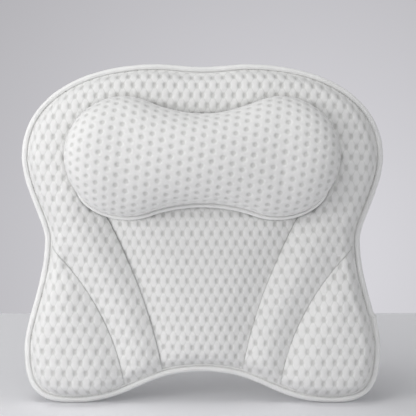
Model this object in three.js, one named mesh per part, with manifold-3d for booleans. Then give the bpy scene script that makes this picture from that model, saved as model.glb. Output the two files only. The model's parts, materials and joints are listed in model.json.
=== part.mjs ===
// Bath pillow: quilted air-mesh pads round a sewn-on neck roll, a bound edge, and six suction cups behind.
//
// Sizes are in millimetres. The pillow is drawn flat in (x, level, depth): x to the bather's right as seen
// from the front, level up the pillow from the bottom of its lobes, and depth towards the bather from the
// back of the back panel. It is then stood up and leant back on its two lobes and its lowest two cups.

import * as THREE from "three";
import { mergeVertices } from "three/addons/utils/BufferGeometryUtils.js";
import Module from "manifold-3d";

const wasm = await Module();
wasm.setup();

// Outline: a broad crowned top, drawn-in waists, two lobes at the bottom and a notch between them
const PILLOW_HEIGHT = 372;
const SHOULDER_WIDTH = 398;
const SHOULDER_LEVEL = 270;
const CROWN_SPREAD = 96;
const CROWN_DIP = 3;
const WAIST_WIDTH = 346;
const WAIST_LEVEL = 178;
const LOBE_WIDTH = 390;
const LOBE_LEVEL = 60;
const FOOT_SPREAD = 286;
const NOTCH_LEVEL = 34;

// How far the handles at the two ends of each outline curve reach, as shares of the step between them
const CROWN_HANDLES = [0.4, 0.3];
const SHOULDER_HANDLES = [0.62, 0.59];
const FLANK_HANDLES = [0.36, 0.21];
const HIP_HANDLES = [0.39, 0.25];
const LOBE_HANDLES = [0.68, 0.8];
const NOTCH_HANDLES = [0.47, 0.47];

// Quilting seams, as distances from the middle line and levels up the pillow
const INNER_SEAM_FOOT = 42.5;
const INNER_SEAM_BEND_OUT = 56;
const INNER_SEAM_BEND_LEVEL = 116;
const INNER_SEAM_ROLL_ANGLE = THREE.MathUtils.degToRad(-60);
const OUTER_SEAM_FOOT = 84;
const OUTER_SEAM_BEND_OUT = 94;
const OUTER_SEAM_BEND_LEVEL = 102;

// Neck roll: a bone shape of two lobes joined by a narrower waist
const ROLL_LEVEL = 268;
const ROLL_LOBE_SPREAD = 166;
const ROLL_LOBE_RADIUS = 58;
const ROLL_WAIST_HEIGHT = 84;
const ROLL_OVERHANG = 6;
const ROLL_BED_DEPTH = 16;
const ROLL_EQUATOR_DEPTH = 37;
const ROLL_LOBE_DEPTH = 84;
const ROLL_WAIST_DEPTH = 77;
const ROLL_FOOT_TUCK = 2;
const ROLL_FULLNESS = 2.3;

// Cloths and stuffing, measured through the pillow
const BACK_CLOTH = 3;
const COVER_CLOTH = 4;
const SEAM_CLOTH = 1.6;
const ROLL_BASE_CLOTH = 1.5;
const ARCH_CROWN = 32;
const CENTRE_CROWN = 27;
const WING_CROWN = 34;
const PAD_ROUNDING = 26;

// Binding tape folded round the edge
const TAPE_WIDTH = 8;
const TAPE_WALL = 1.2;
const TAPE_NOSE = 1.6;
const TAPE_END_GAP = 3.2;

// Suction cups, their eyelets in the back panel and the washers that hold the eyelets from inside
const CUP_RADIUS = 33;
const CUP_STANDOFF = 26;
const CUP_LIP = 2.6;
const CUP_WALL = 2.4;
const CUP_CROWN_WALL = 5;
const CUP_BELL_FLARE = 1.3;
const CUP_BELL_SLOPE = 0.8;
const CUP_SHOULDER_RADIUS = 9;
const CUP_SHOULDER_HEIGHT = 4;
const CUP_NECK_RADIUS = 5.2;
const CUP_HEAD_RADIUS = 9;
const CUP_HEAD_HEIGHT = 4;
const CUP_TAB_REACH = 10;
const CUP_TAB_WIDTH = 13;
const CUP_TAB_THICKNESS = 2;
const MOULDED_CORNER = 0.4;
const EYELET_BORE = 6;
const EYELET_WALL = 1.4;
const EYELET_FLANGE_RADIUS = 13;
const EYELET_FLANGE = 2;
const WASHER_THICKNESS = 2;
const TOP_CUP_OUT = 100;
const TOP_CUP_LEVEL = 298;
const MIDDLE_CUP_OUT = 132;
const MIDDLE_CUP_LEVEL = 192;
const LOW_CUP_OUT = 138;

// Clearances between pieces
const FIT_GAP = 0.3;
const SEAM_GAP = 0.4;
const FLEX_COVER_GAP = 2.6;
const FLEX_BACK_GAP = 0.9;
const TAPE_CLEARANCE = 2;
const POCKET_GAP = 1;
const SEWING_INSET = 1.2;

// Standing pose
const LEAN = THREE.MathUtils.degToRad(9);
const FOOT_FLAT = 0.5;

// Facets
const ROUND_SIDES = 16;
const CUP_BELL_STEPS = 4;
const SEAM_STEPS = 24;
const SEAM_SEARCH_STEPS = 96;
const PAD_ROW_SHARES = [0, 0.07, 0.2, 0.4, 0.6, 0.8, 0.93];
const FIRST_ROW_SHARE = 0.25;
const WING_TIP_SHARE = 0.04;

// Depths and insets that follow from the sizes above
const PAD_FLOOR = BACK_CLOTH + FIT_GAP;
const PINCH_DEPTH = PAD_FLOOR + SEAM_CLOTH;
const COVER_INSET = TAPE_WALL + 2 * FIT_GAP;
const FLANGE = TAPE_WIDTH + TAPE_CLEARANCE;
const WASHER_TOP = PAD_FLOOR + WASHER_THICKNESS;
const EYELET_TOP = WASHER_TOP + FIT_GAP;
const CUP_HEAD_FLOOR = EYELET_TOP + FIT_GAP;
const CUP_HEAD_TOP = CUP_HEAD_FLOOR + CUP_HEAD_HEIGHT;
const CUP_SHOULDER_DEPTH = -(EYELET_FLANGE + 2 * FIT_GAP);
const PANEL_HOLE = EYELET_BORE + EYELET_WALL + 2 * FIT_GAP;
const HIGH_DEPTH = ROLL_LOBE_DEPTH + CUP_STANDOFF;

const vec = (x, y) => new THREE.Vector2(x, y);

// Mirrors a point of the right half onto the left half
const mirrored = (point) => vec(-point.x, point.y);

// A curve that leaves one point and reaches the next level or upright, as the two directions say
function softCurve(from, fromAlong, to, toAlong, [fromShare, toShare]) {
  const step = to.clone().sub(from);
  const leaving = from.clone().add(step.clone().multiply(fromAlong).multiplyScalar(fromShare));
  const reaching = to.clone().sub(step.clone().multiply(toAlong).multiplyScalar(toShare));
  return new THREE.CubicBezierCurve(from, leaving, reaching, to);
}

// Right half of the outline, clockwise from the middle of the top to the middle of the notch
const dip = vec(0, PILLOW_HEIGHT - CROWN_DIP);
const crown = vec(CROWN_SPREAD / 2, PILLOW_HEIGHT);
const shoulder = vec(SHOULDER_WIDTH / 2, SHOULDER_LEVEL);
const waist = vec(WAIST_WIDTH / 2, WAIST_LEVEL);
const lobe = vec(LOBE_WIDTH / 2, LOBE_LEVEL);
const foot = vec(FOOT_SPREAD / 2, 0);
const notch = vec(0, NOTCH_LEVEL);

const crownCurve = softCurve(dip, vec(1, 0), crown, vec(1, 0), CROWN_HANDLES);
const shoulderCurve = softCurve(crown, vec(1, 0), shoulder, vec(0, 1), SHOULDER_HANDLES);
const flankCurve = softCurve(shoulder, vec(0, 1), waist, vec(0, 1), FLANK_HANDLES);
const hipCurve = softCurve(waist, vec(0, 1), lobe, vec(0, 1), HIP_HANDLES);
const lobeCurve = softCurve(lobe, vec(0, 1), foot, vec(1, 0), LOBE_HANDLES);
const notchCurve = softCurve(foot, vec(1, 0), notch, vec(1, 0), NOTCH_HANDLES);

// The share along a curve at which it reaches a distance from the middle line, for a curve running inwards
function shareAtX(curve, x) {
  let low = 0;
  let high = 1;
  for (let step = 0; step < 40; step += 1) {
    const middle = (low + high) / 2;
    if (curve.getPoint(middle).x > x) low = middle;
    else high = middle;
  }
  return (low + high) / 2;
}

const outerFootShare = shareAtX(notchCurve, OUTER_SEAM_FOOT);
const innerFootShare = shareAtX(notchCurve, INNER_SEAM_FOOT);

// Points along a stretch of the outline, each with its normal into the pillow
function rimStretch(curve, steps, from = 0, to = 1) {
  return Array.from({ length: steps + 1 }, (_, i) => {
    const share = from + ((to - from) * i) / steps;
    const tangent = curve.getTangent(share);
    return { point: curve.getPoint(share), inward: vec(tangent.y, -tangent.x) };
  });
}

// Joins stretches that share their end points
const joined = (...stretches) => stretches.flatMap((stretch, i) => (i === 0 ? stretch : stretch.slice(1)));

const upperRim = joined(rimStretch(crownCurve, 3), rimStretch(shoulderCurve, 9), rimStretch(flankCurve, 5));
const wingRim = joined(
  rimStretch(hipCurve, 5), rimStretch(lobeCurve, 7), rimStretch(notchCurve, 3, 0, outerFootShare),
);
const legRim = rimStretch(notchCurve, 2, outerFootShare, innerFootShare);
const notchRim = rimStretch(notchCurve, 3, innerFootShare, 1);
const halfRim = joined(upperRim, wingRim, legRim, notchRim);

// The whole outline, clockwise, with no point repeated
const leftRim = halfRim.slice(1, -1).reverse().map(({ point, inward }) => ({
  point: mirrored(point), inward: mirrored(inward),
}));
const wholeRim = [...halfRim, ...leftRim];

const insetRim = (rim, inset) => rim.map(({ point, inward }) => point.clone().addScaledVector(inward, inset));

// Sewing line of the neck roll, grown or shrunk by an offset; a full turn from the right end, anticlockwise
const rollLobeOut = ROLL_LOBE_SPREAD / 2;
const rollWaistHalf = ROLL_WAIST_HEIGHT / 2;
const rollHollowRadius =
  (rollLobeOut ** 2 + rollWaistHalf ** 2 - ROLL_LOBE_RADIUS ** 2) / (2 * (ROLL_LOBE_RADIUS - rollWaistHalf));
const rollJoinAngle = Math.atan2(rollWaistHalf + rollHollowRadius, -rollLobeOut);

// Each point also carries the place on the roll's spine that it swells from
function rollLine(offset, lobeSteps = 12, hollowSteps = 6) {
  const lobeRadius = ROLL_LOBE_RADIUS + offset;
  const hollowRadius = rollHollowRadius - offset;
  const hollowHalfAngle = rollJoinAngle - Math.PI / 2;
  const joinX = rollLobeOut + lobeRadius * Math.cos(rollJoinAngle);
  const arc = (centre, radius, from, to, steps, spineX) =>
    Array.from({ length: steps }, (_, i) => {
      const angle = from + ((to - from) * i) / steps;
      const point = vec(centre.x + radius * Math.cos(angle), centre.y + radius * Math.sin(angle));
      return { point, spine: vec(spineX(point.x), ROLL_LEVEL) };
    });
  const rightCentre = vec(rollLobeOut, ROLL_LEVEL);
  const leftCentre = vec(-rollLobeOut, ROLL_LEVEL);
  const hollowCentre = (side) => vec(0, ROLL_LEVEL + side * (rollWaistHalf + rollHollowRadius));
  const squeezed = (x) => (x * rollLobeOut) / joinX;
  const top = 1.5 * Math.PI;
  const bottom = 0.5 * Math.PI;
  return [
    ...arc(rightCentre, lobeRadius, -rollJoinAngle, rollJoinAngle, lobeSteps, () => rollLobeOut),
    ...arc(hollowCentre(1), hollowRadius, top + hollowHalfAngle, top - hollowHalfAngle, hollowSteps, squeezed),
    ...arc(leftCentre, lobeRadius, Math.PI - rollJoinAngle, Math.PI + rollJoinAngle, lobeSteps,
      () => -rollLobeOut),
    ...arc(hollowCentre(-1), hollowRadius, bottom + hollowHalfAngle, bottom - hollowHalfAngle, hollowSteps,
      squeezed),
  ];
}

const rollPoints = (offset) => rollLine(offset).map(({ point }) => point);

// A point of the sewing line on the right lobe
function onRollLobe(angle) {
  return vec(rollLobeOut + ROLL_LOBE_RADIUS * Math.cos(angle), ROLL_LEVEL + ROLL_LOBE_RADIUS * Math.sin(angle));
}

// Points along a list of points, at shares of its length
function resampled(points, shares) {
  const lengths = [0];
  for (let i = 1; i < points.length; i += 1) {
    lengths.push(lengths[i - 1] + points[i].distanceTo(points[i - 1]));
  }
  const total = lengths[lengths.length - 1];
  return shares.map((share) => {
    const target = share * total;
    let i = 1;
    while (i < points.length - 1 && lengths[i] < target) i += 1;
    const along = (target - lengths[i - 1]) / (lengths[i] - lengths[i - 1]);
    return points[i - 1].clone().lerp(points[i], along);
  });
}

const evenShares = (steps) => Array.from({ length: steps + 1 }, (_, i) => i / steps);

// Quilting seams of the right half, each from the bottom edge upwards
const outerSeam = new THREE.QuadraticBezierCurve(
  notchCurve.getPoint(outerFootShare), vec(OUTER_SEAM_BEND_OUT, OUTER_SEAM_BEND_LEVEL), waist,
);
const innerSeam = new THREE.QuadraticBezierCurve(
  notchCurve.getPoint(innerFootShare),
  vec(INNER_SEAM_BEND_OUT, INNER_SEAM_BEND_LEVEL),
  onRollLobe(INNER_SEAM_ROLL_ANGLE),
);

// Points beside a seam, to the outer side where the offset is positive
function besideSeam(seam, offset, shares) {
  return shares.map((share) => {
    const tangent = seam.getTangent(share);
    return seam.getPoint(share).addScaledVector(vec(tangent.y, -tangent.x), offset);
  });
}

// Part of the roll's sewing line on the right, from the inner seam round the lobe to the middle of the top
function rollUpperHalf() {
  const start = THREE.MathUtils.euclideanModulo(INNER_SEAM_ROLL_ANGLE, 2 * Math.PI) - 2 * Math.PI;
  const lobeArc = evenShares(14).map((share) => onRollLobe(start + (rollJoinAngle - start) * share));
  const hollowHalfAngle = rollJoinAngle - Math.PI / 2;
  const hollowArc = evenShares(5).slice(1).map((share) => {
    const angle = hollowHalfAngle * (1 - share);
    return vec(
      rollHollowRadius * Math.sin(angle),
      ROLL_LEVEL + rollWaistHalf + rollHollowRadius * (1 - Math.cos(angle)),
    );
  });
  return [...lobeArc, ...hollowArc];
}

// Part of the roll's sewing line below it, from the left inner seam to the right one
function rollLowerEdge() {
  const start = -rollJoinAngle;
  const lobeArc = evenShares(5).map((share) => onRollLobe(start + (INNER_SEAM_ROLL_ANGLE - start) * share));
  const hollowHalfAngle = rollJoinAngle - Math.PI / 2;
  const hollowArc = evenShares(4).slice(0, -1).map((share) => {
    const angle = hollowHalfAngle * share;
    return vec(
      rollHollowRadius * Math.sin(angle),
      ROLL_LEVEL - rollWaistHalf - rollHollowRadius * (1 - Math.cos(angle)),
    );
  });
  const right = [...hollowArc, ...lobeArc];
  return [...right.slice(1).reverse().map(mirrored), ...right];
}

// Distance from a point to a list of joined points
function distanceToLine(point, line) {
  let least = Infinity;
  for (let i = 1; i < line.length; i += 1) {
    const along = line[i].clone().sub(line[i - 1]);
    const offset = point.clone().sub(line[i - 1]);
    const share = THREE.MathUtils.clamp(offset.dot(along) / along.lengthSq(), 0, 1);
    least = Math.min(least, offset.addScaledVector(along, -share).length());
  }
  return least;
}

const outerSeamLine = outerSeam.getPoints(SEAM_STEPS);
const innerSeamLine = innerSeam.getPoints(SEAM_STEPS);
const rimLine = insetRim([...wholeRim, wholeRim[0]], 0);
const rollSewingLine = [...rollPoints(0), rollPoints(0)[0]];
const bothSides = (line) => [line, line.map(mirrored)];

// Depth of a pad's face: drawn in at its seams and at the tape, held higher where the roll is sewn on
function padFace(point, padCrown, { seams = [], meetsRoll = false }) {
  const rise = (distance) => Math.sin((Math.PI / 2) * THREE.MathUtils.clamp(distance / PAD_ROUNDING, 0, 1));
  let fullness = rise(distanceToLine(point, rimLine) - FLANGE);
  for (const seam of seams) fullness *= rise(distanceToLine(point, seam));
  if (meetsRoll) {
    const held = (ROLL_BED_DEPTH - PINCH_DEPTH) / (padCrown - PINCH_DEPTH);
    fullness *= held + (1 - held) * rise(distanceToLine(point, rollSewingLine));
  }
  return PINCH_DEPTH + (padCrown - PINCH_DEPTH) * fullness;
}

// A pad's grid of points with the depths of its face and of the underside of its cover
function padGrid(rows, padCrown, edges) {
  return rows.map((row) => row.map((point) => {
    const face = padFace(point, padCrown, edges);
    const fullness = (face - PINCH_DEPTH) / (padCrown - PINCH_DEPTH);
    return { point, face, under: face - SEAM_CLOTH - (COVER_CLOTH - SEAM_CLOTH) * fullness };
  }));
}

const clearOfTape = (point) => distanceToLine(point, rimLine) >= FLANGE;

// The share of the way from a clear point to one under the tape at which the flange starts
function flangeShare(from, to) {
  let low = 0;
  let high = 1;
  for (let step = 0; step < 20; step += 1) {
    const middle = (low + high) / 2;
    if (clearOfTape(from.clone().lerp(to, middle))) low = middle;
    else high = middle;
  }
  return low;
}

// A row of points across a pad; one that ends under the tape keeps its last step for the flange there
function rowAcross(from, to) {
  const last = PAD_ROW_SHARES[PAD_ROW_SHARES.length - 1];
  const flanged = clearOfTape(from) && !clearOfTape(to);
  const stretch = flanged ? flangeShare(from, to) / last : 1;
  return [...PAD_ROW_SHARES.map((share) => from.clone().lerp(to, share * stretch)), to];
}

// Points beside a seam between the tapes at its two ends
function seamBetweenTapes(seam, offset) {
  const inside = (point) => distanceToLine(point, rimLine) >= COVER_INSET;
  return besideSeam(seam, offset, evenShares(SEAM_SEARCH_STEPS)).filter(inside);
}

const lineLength = (points) =>
  points.slice(1).reduce((sum, point, i) => sum + point.distanceTo(points[i]), 0);

// Shares along pads that start at the tape: one step for the flange, then even ones
function sharesFromTape(lines, steps) {
  const flanges = lines.map((line) => {
    const underTape = line.slice(0, line.findIndex(clearOfTape) + 1);
    return lineLength(underTape) / lineLength(line);
  });
  const first = Math.max(...flanges);
  const second = first + FIRST_ROW_SHARE / steps;
  return [0, first, ...evenShares(steps - 1).map((share) => second + (1 - second) * share)];
}

function archRows() {
  const innerLine = seamBetweenTapes(innerSeam, SEAM_GAP / 2);
  const outerLine = seamBetweenTapes(outerSeam, -FLEX_COVER_GAP / 2);
  const legShares = sharesFromTape([innerLine, outerLine], 8);
  const outerLeg = resampled(outerLine, legShares);
  const leg = resampled(innerLine, legShares).map((point, i) => rowAcross(point, outerLeg[i]));
  const upperShares = evenShares(15).slice(1);
  const outerUpper = resampled(insetRim(upperRim, COVER_INSET).reverse(), upperShares);
  const upper = resampled(rollUpperHalf(), upperShares).map((point, i) => rowAcross(point, outerUpper[i]));
  const right = [...leg, ...upper];
  return [...right, ...right.slice(0, -1).reverse().map((row) => row.map(mirrored))];
}

// A pad with four curved edges, blended between them
function centreRows() {
  const columns = evenShares(12);
  const bottomRight = insetRim(notchRim, COVER_INSET).reverse();
  const bottom = resampled([...bottomRight.slice(1).reverse().map(mirrored), ...bottomRight], columns);
  const top = resampled(rollLowerEdge(), columns);
  const seamLine = seamBetweenTapes(innerSeam, -SEAM_GAP / 2);
  const sideShares = sharesFromTape([seamLine], 9);
  const right = resampled(seamLine, sideShares);
  return sideShares.map((up, i) => columns.map((across, j) => {
    const point = bottom[j].clone().lerp(top[j], up);
    const rightEnd = bottom[columns.length - 1].clone().lerp(top[columns.length - 1], up);
    const leftEnd = bottom[0].clone().lerp(top[0], up);
    point.addScaledVector(right[i].clone().sub(rightEnd), across);
    return point.addScaledVector(mirrored(right[i]).sub(leftEnd), 1 - across);
  }));
}

function wingRows() {
  const shares = evenShares(12).map((share) => WING_TIP_SHARE + (1 - 2 * WING_TIP_SHARE) * share);
  const seamSide = resampled(seamBetweenTapes(outerSeam, FLEX_COVER_GAP / 2), shares);
  const rimSide = resampled(insetRim(wingRim, COVER_INSET).reverse(), shares);
  return seamSide.map((point, i) => rowAcross(point, rimSide[i]));
}

// Turns the faces outwards and drops the slivers that welding leaves
function closedBody(positions, index) {
  const raw = new THREE.BufferGeometry();
  raw.setAttribute("position", new THREE.Float32BufferAttribute(positions, 3));
  raw.setIndex(index);
  const welded = mergeVertices(raw, 1e-3);
  const corners = [];
  const [a, b, c] = [new THREE.Vector3(), new THREE.Vector3(), new THREE.Vector3()];
  const place = welded.getAttribute("position");
  let volume = 0;
  for (let i = 0; i < welded.index.count; i += 3) {
    const [p, q, r] = [0, 1, 2].map((k) => welded.index.getX(i + k));
    if (p === q || q === r || r === p) continue;
    corners.push(p, q, r);
    a.fromBufferAttribute(place, p);
    b.fromBufferAttribute(place, q);
    c.fromBufferAttribute(place, r);
    volume += a.dot(b.cross(c));
  }
  welded.setIndex(volume > 0 ? corners : corners.reverse());
  return welded;
}

// The body between two layers of one grid
function bodyBetween(grid, upper, lower) {
  const rows = grid.length;
  const columns = grid[0].length;
  const layers = [upper, lower];
  const positions = layers.flatMap((depthOf) =>
    grid.flatMap((row) => row.flatMap((cell) => [cell.point.x, cell.point.y, depthOf(cell)])));
  const corner = (layer, i, j) => (layer * rows + i) * columns + j;
  const index = [];
  const quad = (p, q, r, s) => index.push(p, q, r, p, r, s);
  for (let i = 0; i < rows - 1; i += 1) {
    for (let j = 0; j < columns - 1; j += 1) {
      quad(corner(0, i, j), corner(0, i, j + 1), corner(0, i + 1, j + 1), corner(0, i + 1, j));
      quad(corner(1, i, j), corner(1, i + 1, j), corner(1, i + 1, j + 1), corner(1, i, j + 1));
    }
  }
  const wall = (i, j, k, l) => quad(corner(0, i, j), corner(1, i, j), corner(1, k, l), corner(0, k, l));
  for (let j = 0; j < columns - 1; j += 1) {
    wall(0, j, 0, j + 1);
    wall(rows - 1, j + 1, rows - 1, j);
  }
  for (let i = 0; i < rows - 1; i += 1) {
    wall(i + 1, 0, i, 0);
    wall(i, columns - 1, i + 1, columns - 1);
  }
  return closedBody(positions, index);
}

// A pad's cover, trimmed where the tape folds over it
function coverBody(grid) {
  const cloth = bodyBetween(grid, (cell) => cell.face, (cell) => cell.under);
  return toGeometry(toSolid(cloth).subtract(roundTheEdge(TAPE_SPACE)));
}

// Stuffing under a cover, short of the stitched edges
function fillBody(grid) {
  const inside = grid.slice(1, -1).map((row) => row.slice(1, -1));
  return bodyBetween(inside, (cell) => cell.under - FIT_GAP, () => PAD_FLOOR);
}

// A body lofted through rings of the same number of points; the last ring may close on the first
function ringBody(rings, loops) {
  const count = rings[0].length;
  const positions = rings.flatMap((ring) => ring.flatMap((point) => [point.x, point.y, point.z]));
  const index = [];
  const bands = loops ? rings.length : rings.length - 1;
  for (let k = 0; k < bands; k += 1) {
    const next = (k + 1) % rings.length;
    for (let i = 0; i < count; i += 1) {
      const j = (i + 1) % count;
      const [p, q, r, s] = [k * count + i, k * count + j, next * count + j, next * count + i];
      index.push(p, q, r, p, r, s);
    }
  }
  return closedBody(positions, index);
}

// The roll's side as (offset from the sewing line, share of the way up to the equator), and its dome as
// shares of the way out from the spine
const ROLL_FOOT_SWELL = [[-ROLL_FOOT_TUCK, 0], [0.42 * ROLL_OVERHANG, 0.25], [0.83 * ROLL_OVERHANG, 0.58]];
const ROLL_DOME_SHARES = [1, 0.97, 0.88, 0.74, 0.56, 0.34, 0];

// Rings of the neck roll from its sewn foot over the overhang to the spine, shrunk all round by an inset
function rollRings(inset, footDepth) {
  const depthAt = (spineX) => {
    const share = Math.abs(spineX) / rollLobeOut;
    return ROLL_WAIST_DEPTH + (ROLL_LOBE_DEPTH - ROLL_WAIST_DEPTH) * share ** 2 - inset;
  };
  const foot = ROLL_FOOT_SWELL.map(([offset, up]) => rollLine(offset - inset).map(({ point }) =>
    new THREE.Vector3(point.x, point.y, footDepth + (ROLL_EQUATOR_DEPTH - footDepth) * up)));
  const dome = ROLL_DOME_SHARES.map((share) => rollLine(ROLL_OVERHANG - inset).map(({ point, spine }) => {
    const place = spine.clone().lerp(point, share);
    const height = Math.sqrt(1 - share ** ROLL_FULLNESS);
    const depth = ROLL_EQUATOR_DEPTH + (depthAt(spine.x) - ROLL_EQUATOR_DEPTH) * height;
    return new THREE.Vector3(place.x, place.y, depth);
  }));
  return [...foot, ...dome];
}

function rollCover() {
  const outside = rollRings(0, ROLL_BED_DEPTH + FIT_GAP);
  const inside = rollRings(COVER_CLOTH, ROLL_BED_DEPTH + FIT_GAP);
  return ringBody([...outside, ...inside.reverse()], true);
}

function rollFill() {
  const outside = rollRings(COVER_CLOTH + FIT_GAP, ROLL_BED_DEPTH + FIT_GAP);
  const middle = rollLine(0).map(({ spine }) => new THREE.Vector3(spine.x, spine.y, ROLL_BED_DEPTH + FIT_GAP));
  return ringBody([middle, ...outside], false);
}

// A flat piece with the given outline, between two depths
function slab(outline, from, to) {
  const piece = new THREE.ExtrudeGeometry(new THREE.Shape(outline), { depth: to - from, bevelEnabled: false });
  return piece.translate(0, 0, from);
}

// A round piece turned about the depth axis from a profile of (radius, depth) points
function turned(profile) {
  const piece = new THREE.LatheGeometry(profile.map(([radius, depth]) => vec(radius, depth)), ROUND_SIDES);
  piece.rotateX(Math.PI / 2);
  return closedBody(Array.from(piece.getAttribute("position").array), Array.from(piece.index.array));
}

function toSolid(geometry) {
  const bare = geometry.clone();
  bare.deleteAttribute("normal");
  bare.deleteAttribute("uv");
  const place = bare.getAttribute("position").array;
  const inOrder = Array.from({ length: place.length / 3 }, (_, i) => i);
  const index = bare.index ? Array.from(bare.index.array) : inOrder;
  const welded = closedBody(Array.from(place), index);
  return new wasm.Manifold(new wasm.Mesh({
    numProp: 3,
    vertProperties: new Float32Array(welded.getAttribute("position").array),
    triVerts: new Uint32Array(welded.index.array),
  }));
}

function toGeometry(solid) {
  const mesh = solid.getMesh();
  const geometry = new THREE.BufferGeometry();
  geometry.setAttribute("position", new THREE.Float32BufferAttribute(mesh.vertProperties, 3));
  geometry.setIndex(Array.from(mesh.triVerts));
  return geometry;
}

const cutFrom = (solid, ...cutters) => cutters.reduce((left, cutter) => left.subtract(cutter), solid);

// The side of an outer seam that flexes, as a tall body; the shift moves its edge off the seam
function wingRegion(side, shift) {
  const reach = PILLOW_HEIGHT / 4;
  const line = besideSeam(outerSeam, shift, evenShares(SEAM_STEPS));
  const first = line[0].clone().addScaledVector(outerSeam.getTangent(0), -reach);
  const last = line[line.length - 1].clone().addScaledVector(outerSeam.getTangent(1), reach);
  const far = 2 * SHOULDER_WIDTH;
  const outline = [first, ...line, last, vec(far, last.y), vec(far, first.y)];
  const placed = side > 0 ? outline : outline.map(mirrored);
  return toSolid(slab(placed, -HIGH_DEPTH, HIGH_DEPTH));
}

// Binding tape: one folded strip round the whole edge, before it is cut at the flex seams
const tapeFront = PINCH_DEPTH + FIT_GAP + TAPE_WALL;
const tapeBack = -FIT_GAP - TAPE_WALL;
const TAPE_SECTION = [
  [TAPE_WIDTH, tapeFront],
  [TAPE_NOSE, tapeFront],
  [0, tapeFront - TAPE_NOSE],
  [0, tapeBack + TAPE_NOSE],
  [TAPE_NOSE, tapeBack],
  [TAPE_WIDTH, tapeBack],
  [TAPE_WIDTH, tapeBack + TAPE_WALL],
  [TAPE_WALL, tapeBack + TAPE_WALL],
  [TAPE_WALL, tapeFront - TAPE_WALL],
  [TAPE_WIDTH, tapeFront - TAPE_WALL],
];

// The space that the tape takes over the covers, with a gap round it
const TAPE_SPACE = [
  [-TAPE_WIDTH, -HIGH_DEPTH],
  [-TAPE_WIDTH, HIGH_DEPTH],
  [TAPE_WIDTH + FIT_GAP, HIGH_DEPTH],
  [TAPE_WIDTH + FIT_GAP, PINCH_DEPTH + FIT_GAP / 2],
  [TAPE_WALL + FIT_GAP, PINCH_DEPTH + FIT_GAP / 2],
  [TAPE_WALL + FIT_GAP, -HIGH_DEPTH],
];

// A section of (inset, depth) points carried round the whole edge
function roundTheEdge(section) {
  const rings = section.map(([inset, depth]) =>
    insetRim(wholeRim, inset).map((point) => new THREE.Vector3(point.x, point.y, depth)));
  return toSolid(ringBody(rings, true));
}

// Height of the ground plane, measured along the upright direction from the drawing's origin
const footHeight = (tapeBack + TAPE_NOSE) * Math.sin(LEAN) + FOOT_FLAT;

// Everything under the ground plane
function ground() {
  const block = new THREE.BoxGeometry(2 * SHOULDER_WIDTH, 2 * PILLOW_HEIGHT, PILLOW_HEIGHT);
  block.translate(0, 0, footHeight - PILLOW_HEIGHT / 2);
  return toSolid(block.rotateX(LEAN - Math.PI / 2));
}

// The lowest cups stand on the same ground as the lobes, tabs up; the others' tabs hang down
const lowCupLevel = CUP_RADIUS + (footHeight + CUP_STANDOFF * Math.sin(LEAN)) / Math.cos(LEAN);
const cupPlaces = [
  ["top", TOP_CUP_OUT, TOP_CUP_LEVEL],
  ["middle", MIDDLE_CUP_OUT, MIDDLE_CUP_LEVEL],
  ["low", LOW_CUP_OUT, lowCupLevel],
].flatMap(([row, out, level]) => {
  const turn = row === "low" ? 0 : Math.PI;
  return [{ name: `${row}_left`, x: -out, level, turn }, { name: `${row}_right`, x: out, level, turn }];
});

// A suction cup: head inside the pillow, neck through the eyelet, shoulder, bell, flat lip and pull tab
function suctionCup() {
  const lipDepth = -CUP_STANDOFF;
  const bellTop = CUP_SHOULDER_DEPTH - CUP_SHOULDER_HEIGHT;
  const bell = (share, thickness) => {
    const radius = CUP_SHOULDER_RADIUS + (CUP_RADIUS - CUP_SHOULDER_RADIUS) * share;
    const depth = bellTop + (lipDepth + CUP_LIP - bellTop) * share ** CUP_BELL_FLARE;
    return [radius - thickness * CUP_BELL_SLOPE, depth - thickness];
  };
  const steps = evenShares(CUP_BELL_STEPS);
  const outside = steps.map((share) => bell(share, 0));
  const inside = steps.slice(1, -1).reverse().map((share) => bell(share, CUP_WALL));
  const body = toSolid(turned([
    [0, CUP_HEAD_TOP],
    [CUP_HEAD_RADIUS - MOULDED_CORNER * CUP_HEAD_HEIGHT, CUP_HEAD_TOP],
    [CUP_HEAD_RADIUS, CUP_HEAD_TOP - MOULDED_CORNER * CUP_HEAD_HEIGHT],
    [CUP_HEAD_RADIUS, CUP_HEAD_FLOOR],
    [CUP_NECK_RADIUS, CUP_HEAD_FLOOR],
    [CUP_NECK_RADIUS, CUP_SHOULDER_DEPTH],
    [CUP_SHOULDER_RADIUS, CUP_SHOULDER_DEPTH],
    ...outside,
    [CUP_RADIUS, lipDepth],
    [CUP_RADIUS - CUP_LIP, lipDepth],
    ...inside,
    [0, bellTop - CUP_CROWN_WALL],
  ]));
  const half = CUP_TAB_WIDTH / 2;
  const end = CUP_RADIUS + CUP_TAB_REACH;
  const corner = MOULDED_CORNER * half;
  const tab = slab([
    vec(-half, CUP_RADIUS - CUP_LIP), vec(half, CUP_RADIUS - CUP_LIP),
    vec(half, end - corner), vec(half - corner, end), vec(corner - half, end), vec(-half, end - corner),
  ], lipDepth + FIT_GAP, lipDepth + FIT_GAP + CUP_TAB_THICKNESS);
  return toGeometry(body.add(toSolid(tab)));
}

// An eyelet: outer flange behind the back panel and a tube through it
const eyelet = () => turned([
  [EYELET_BORE, EYELET_TOP],
  [EYELET_BORE + EYELET_WALL, EYELET_TOP],
  [EYELET_BORE + EYELET_WALL, -FIT_GAP],
  [EYELET_FLANGE_RADIUS, -FIT_GAP],
  [EYELET_FLANGE_RADIUS, -FIT_GAP - (1 - MOULDED_CORNER) * EYELET_FLANGE],
  [EYELET_FLANGE_RADIUS - MOULDED_CORNER * EYELET_FLANGE, -FIT_GAP - EYELET_FLANGE],
  [EYELET_BORE, -FIT_GAP - EYELET_FLANGE],
  [EYELET_BORE, EYELET_TOP],
]);

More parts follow.
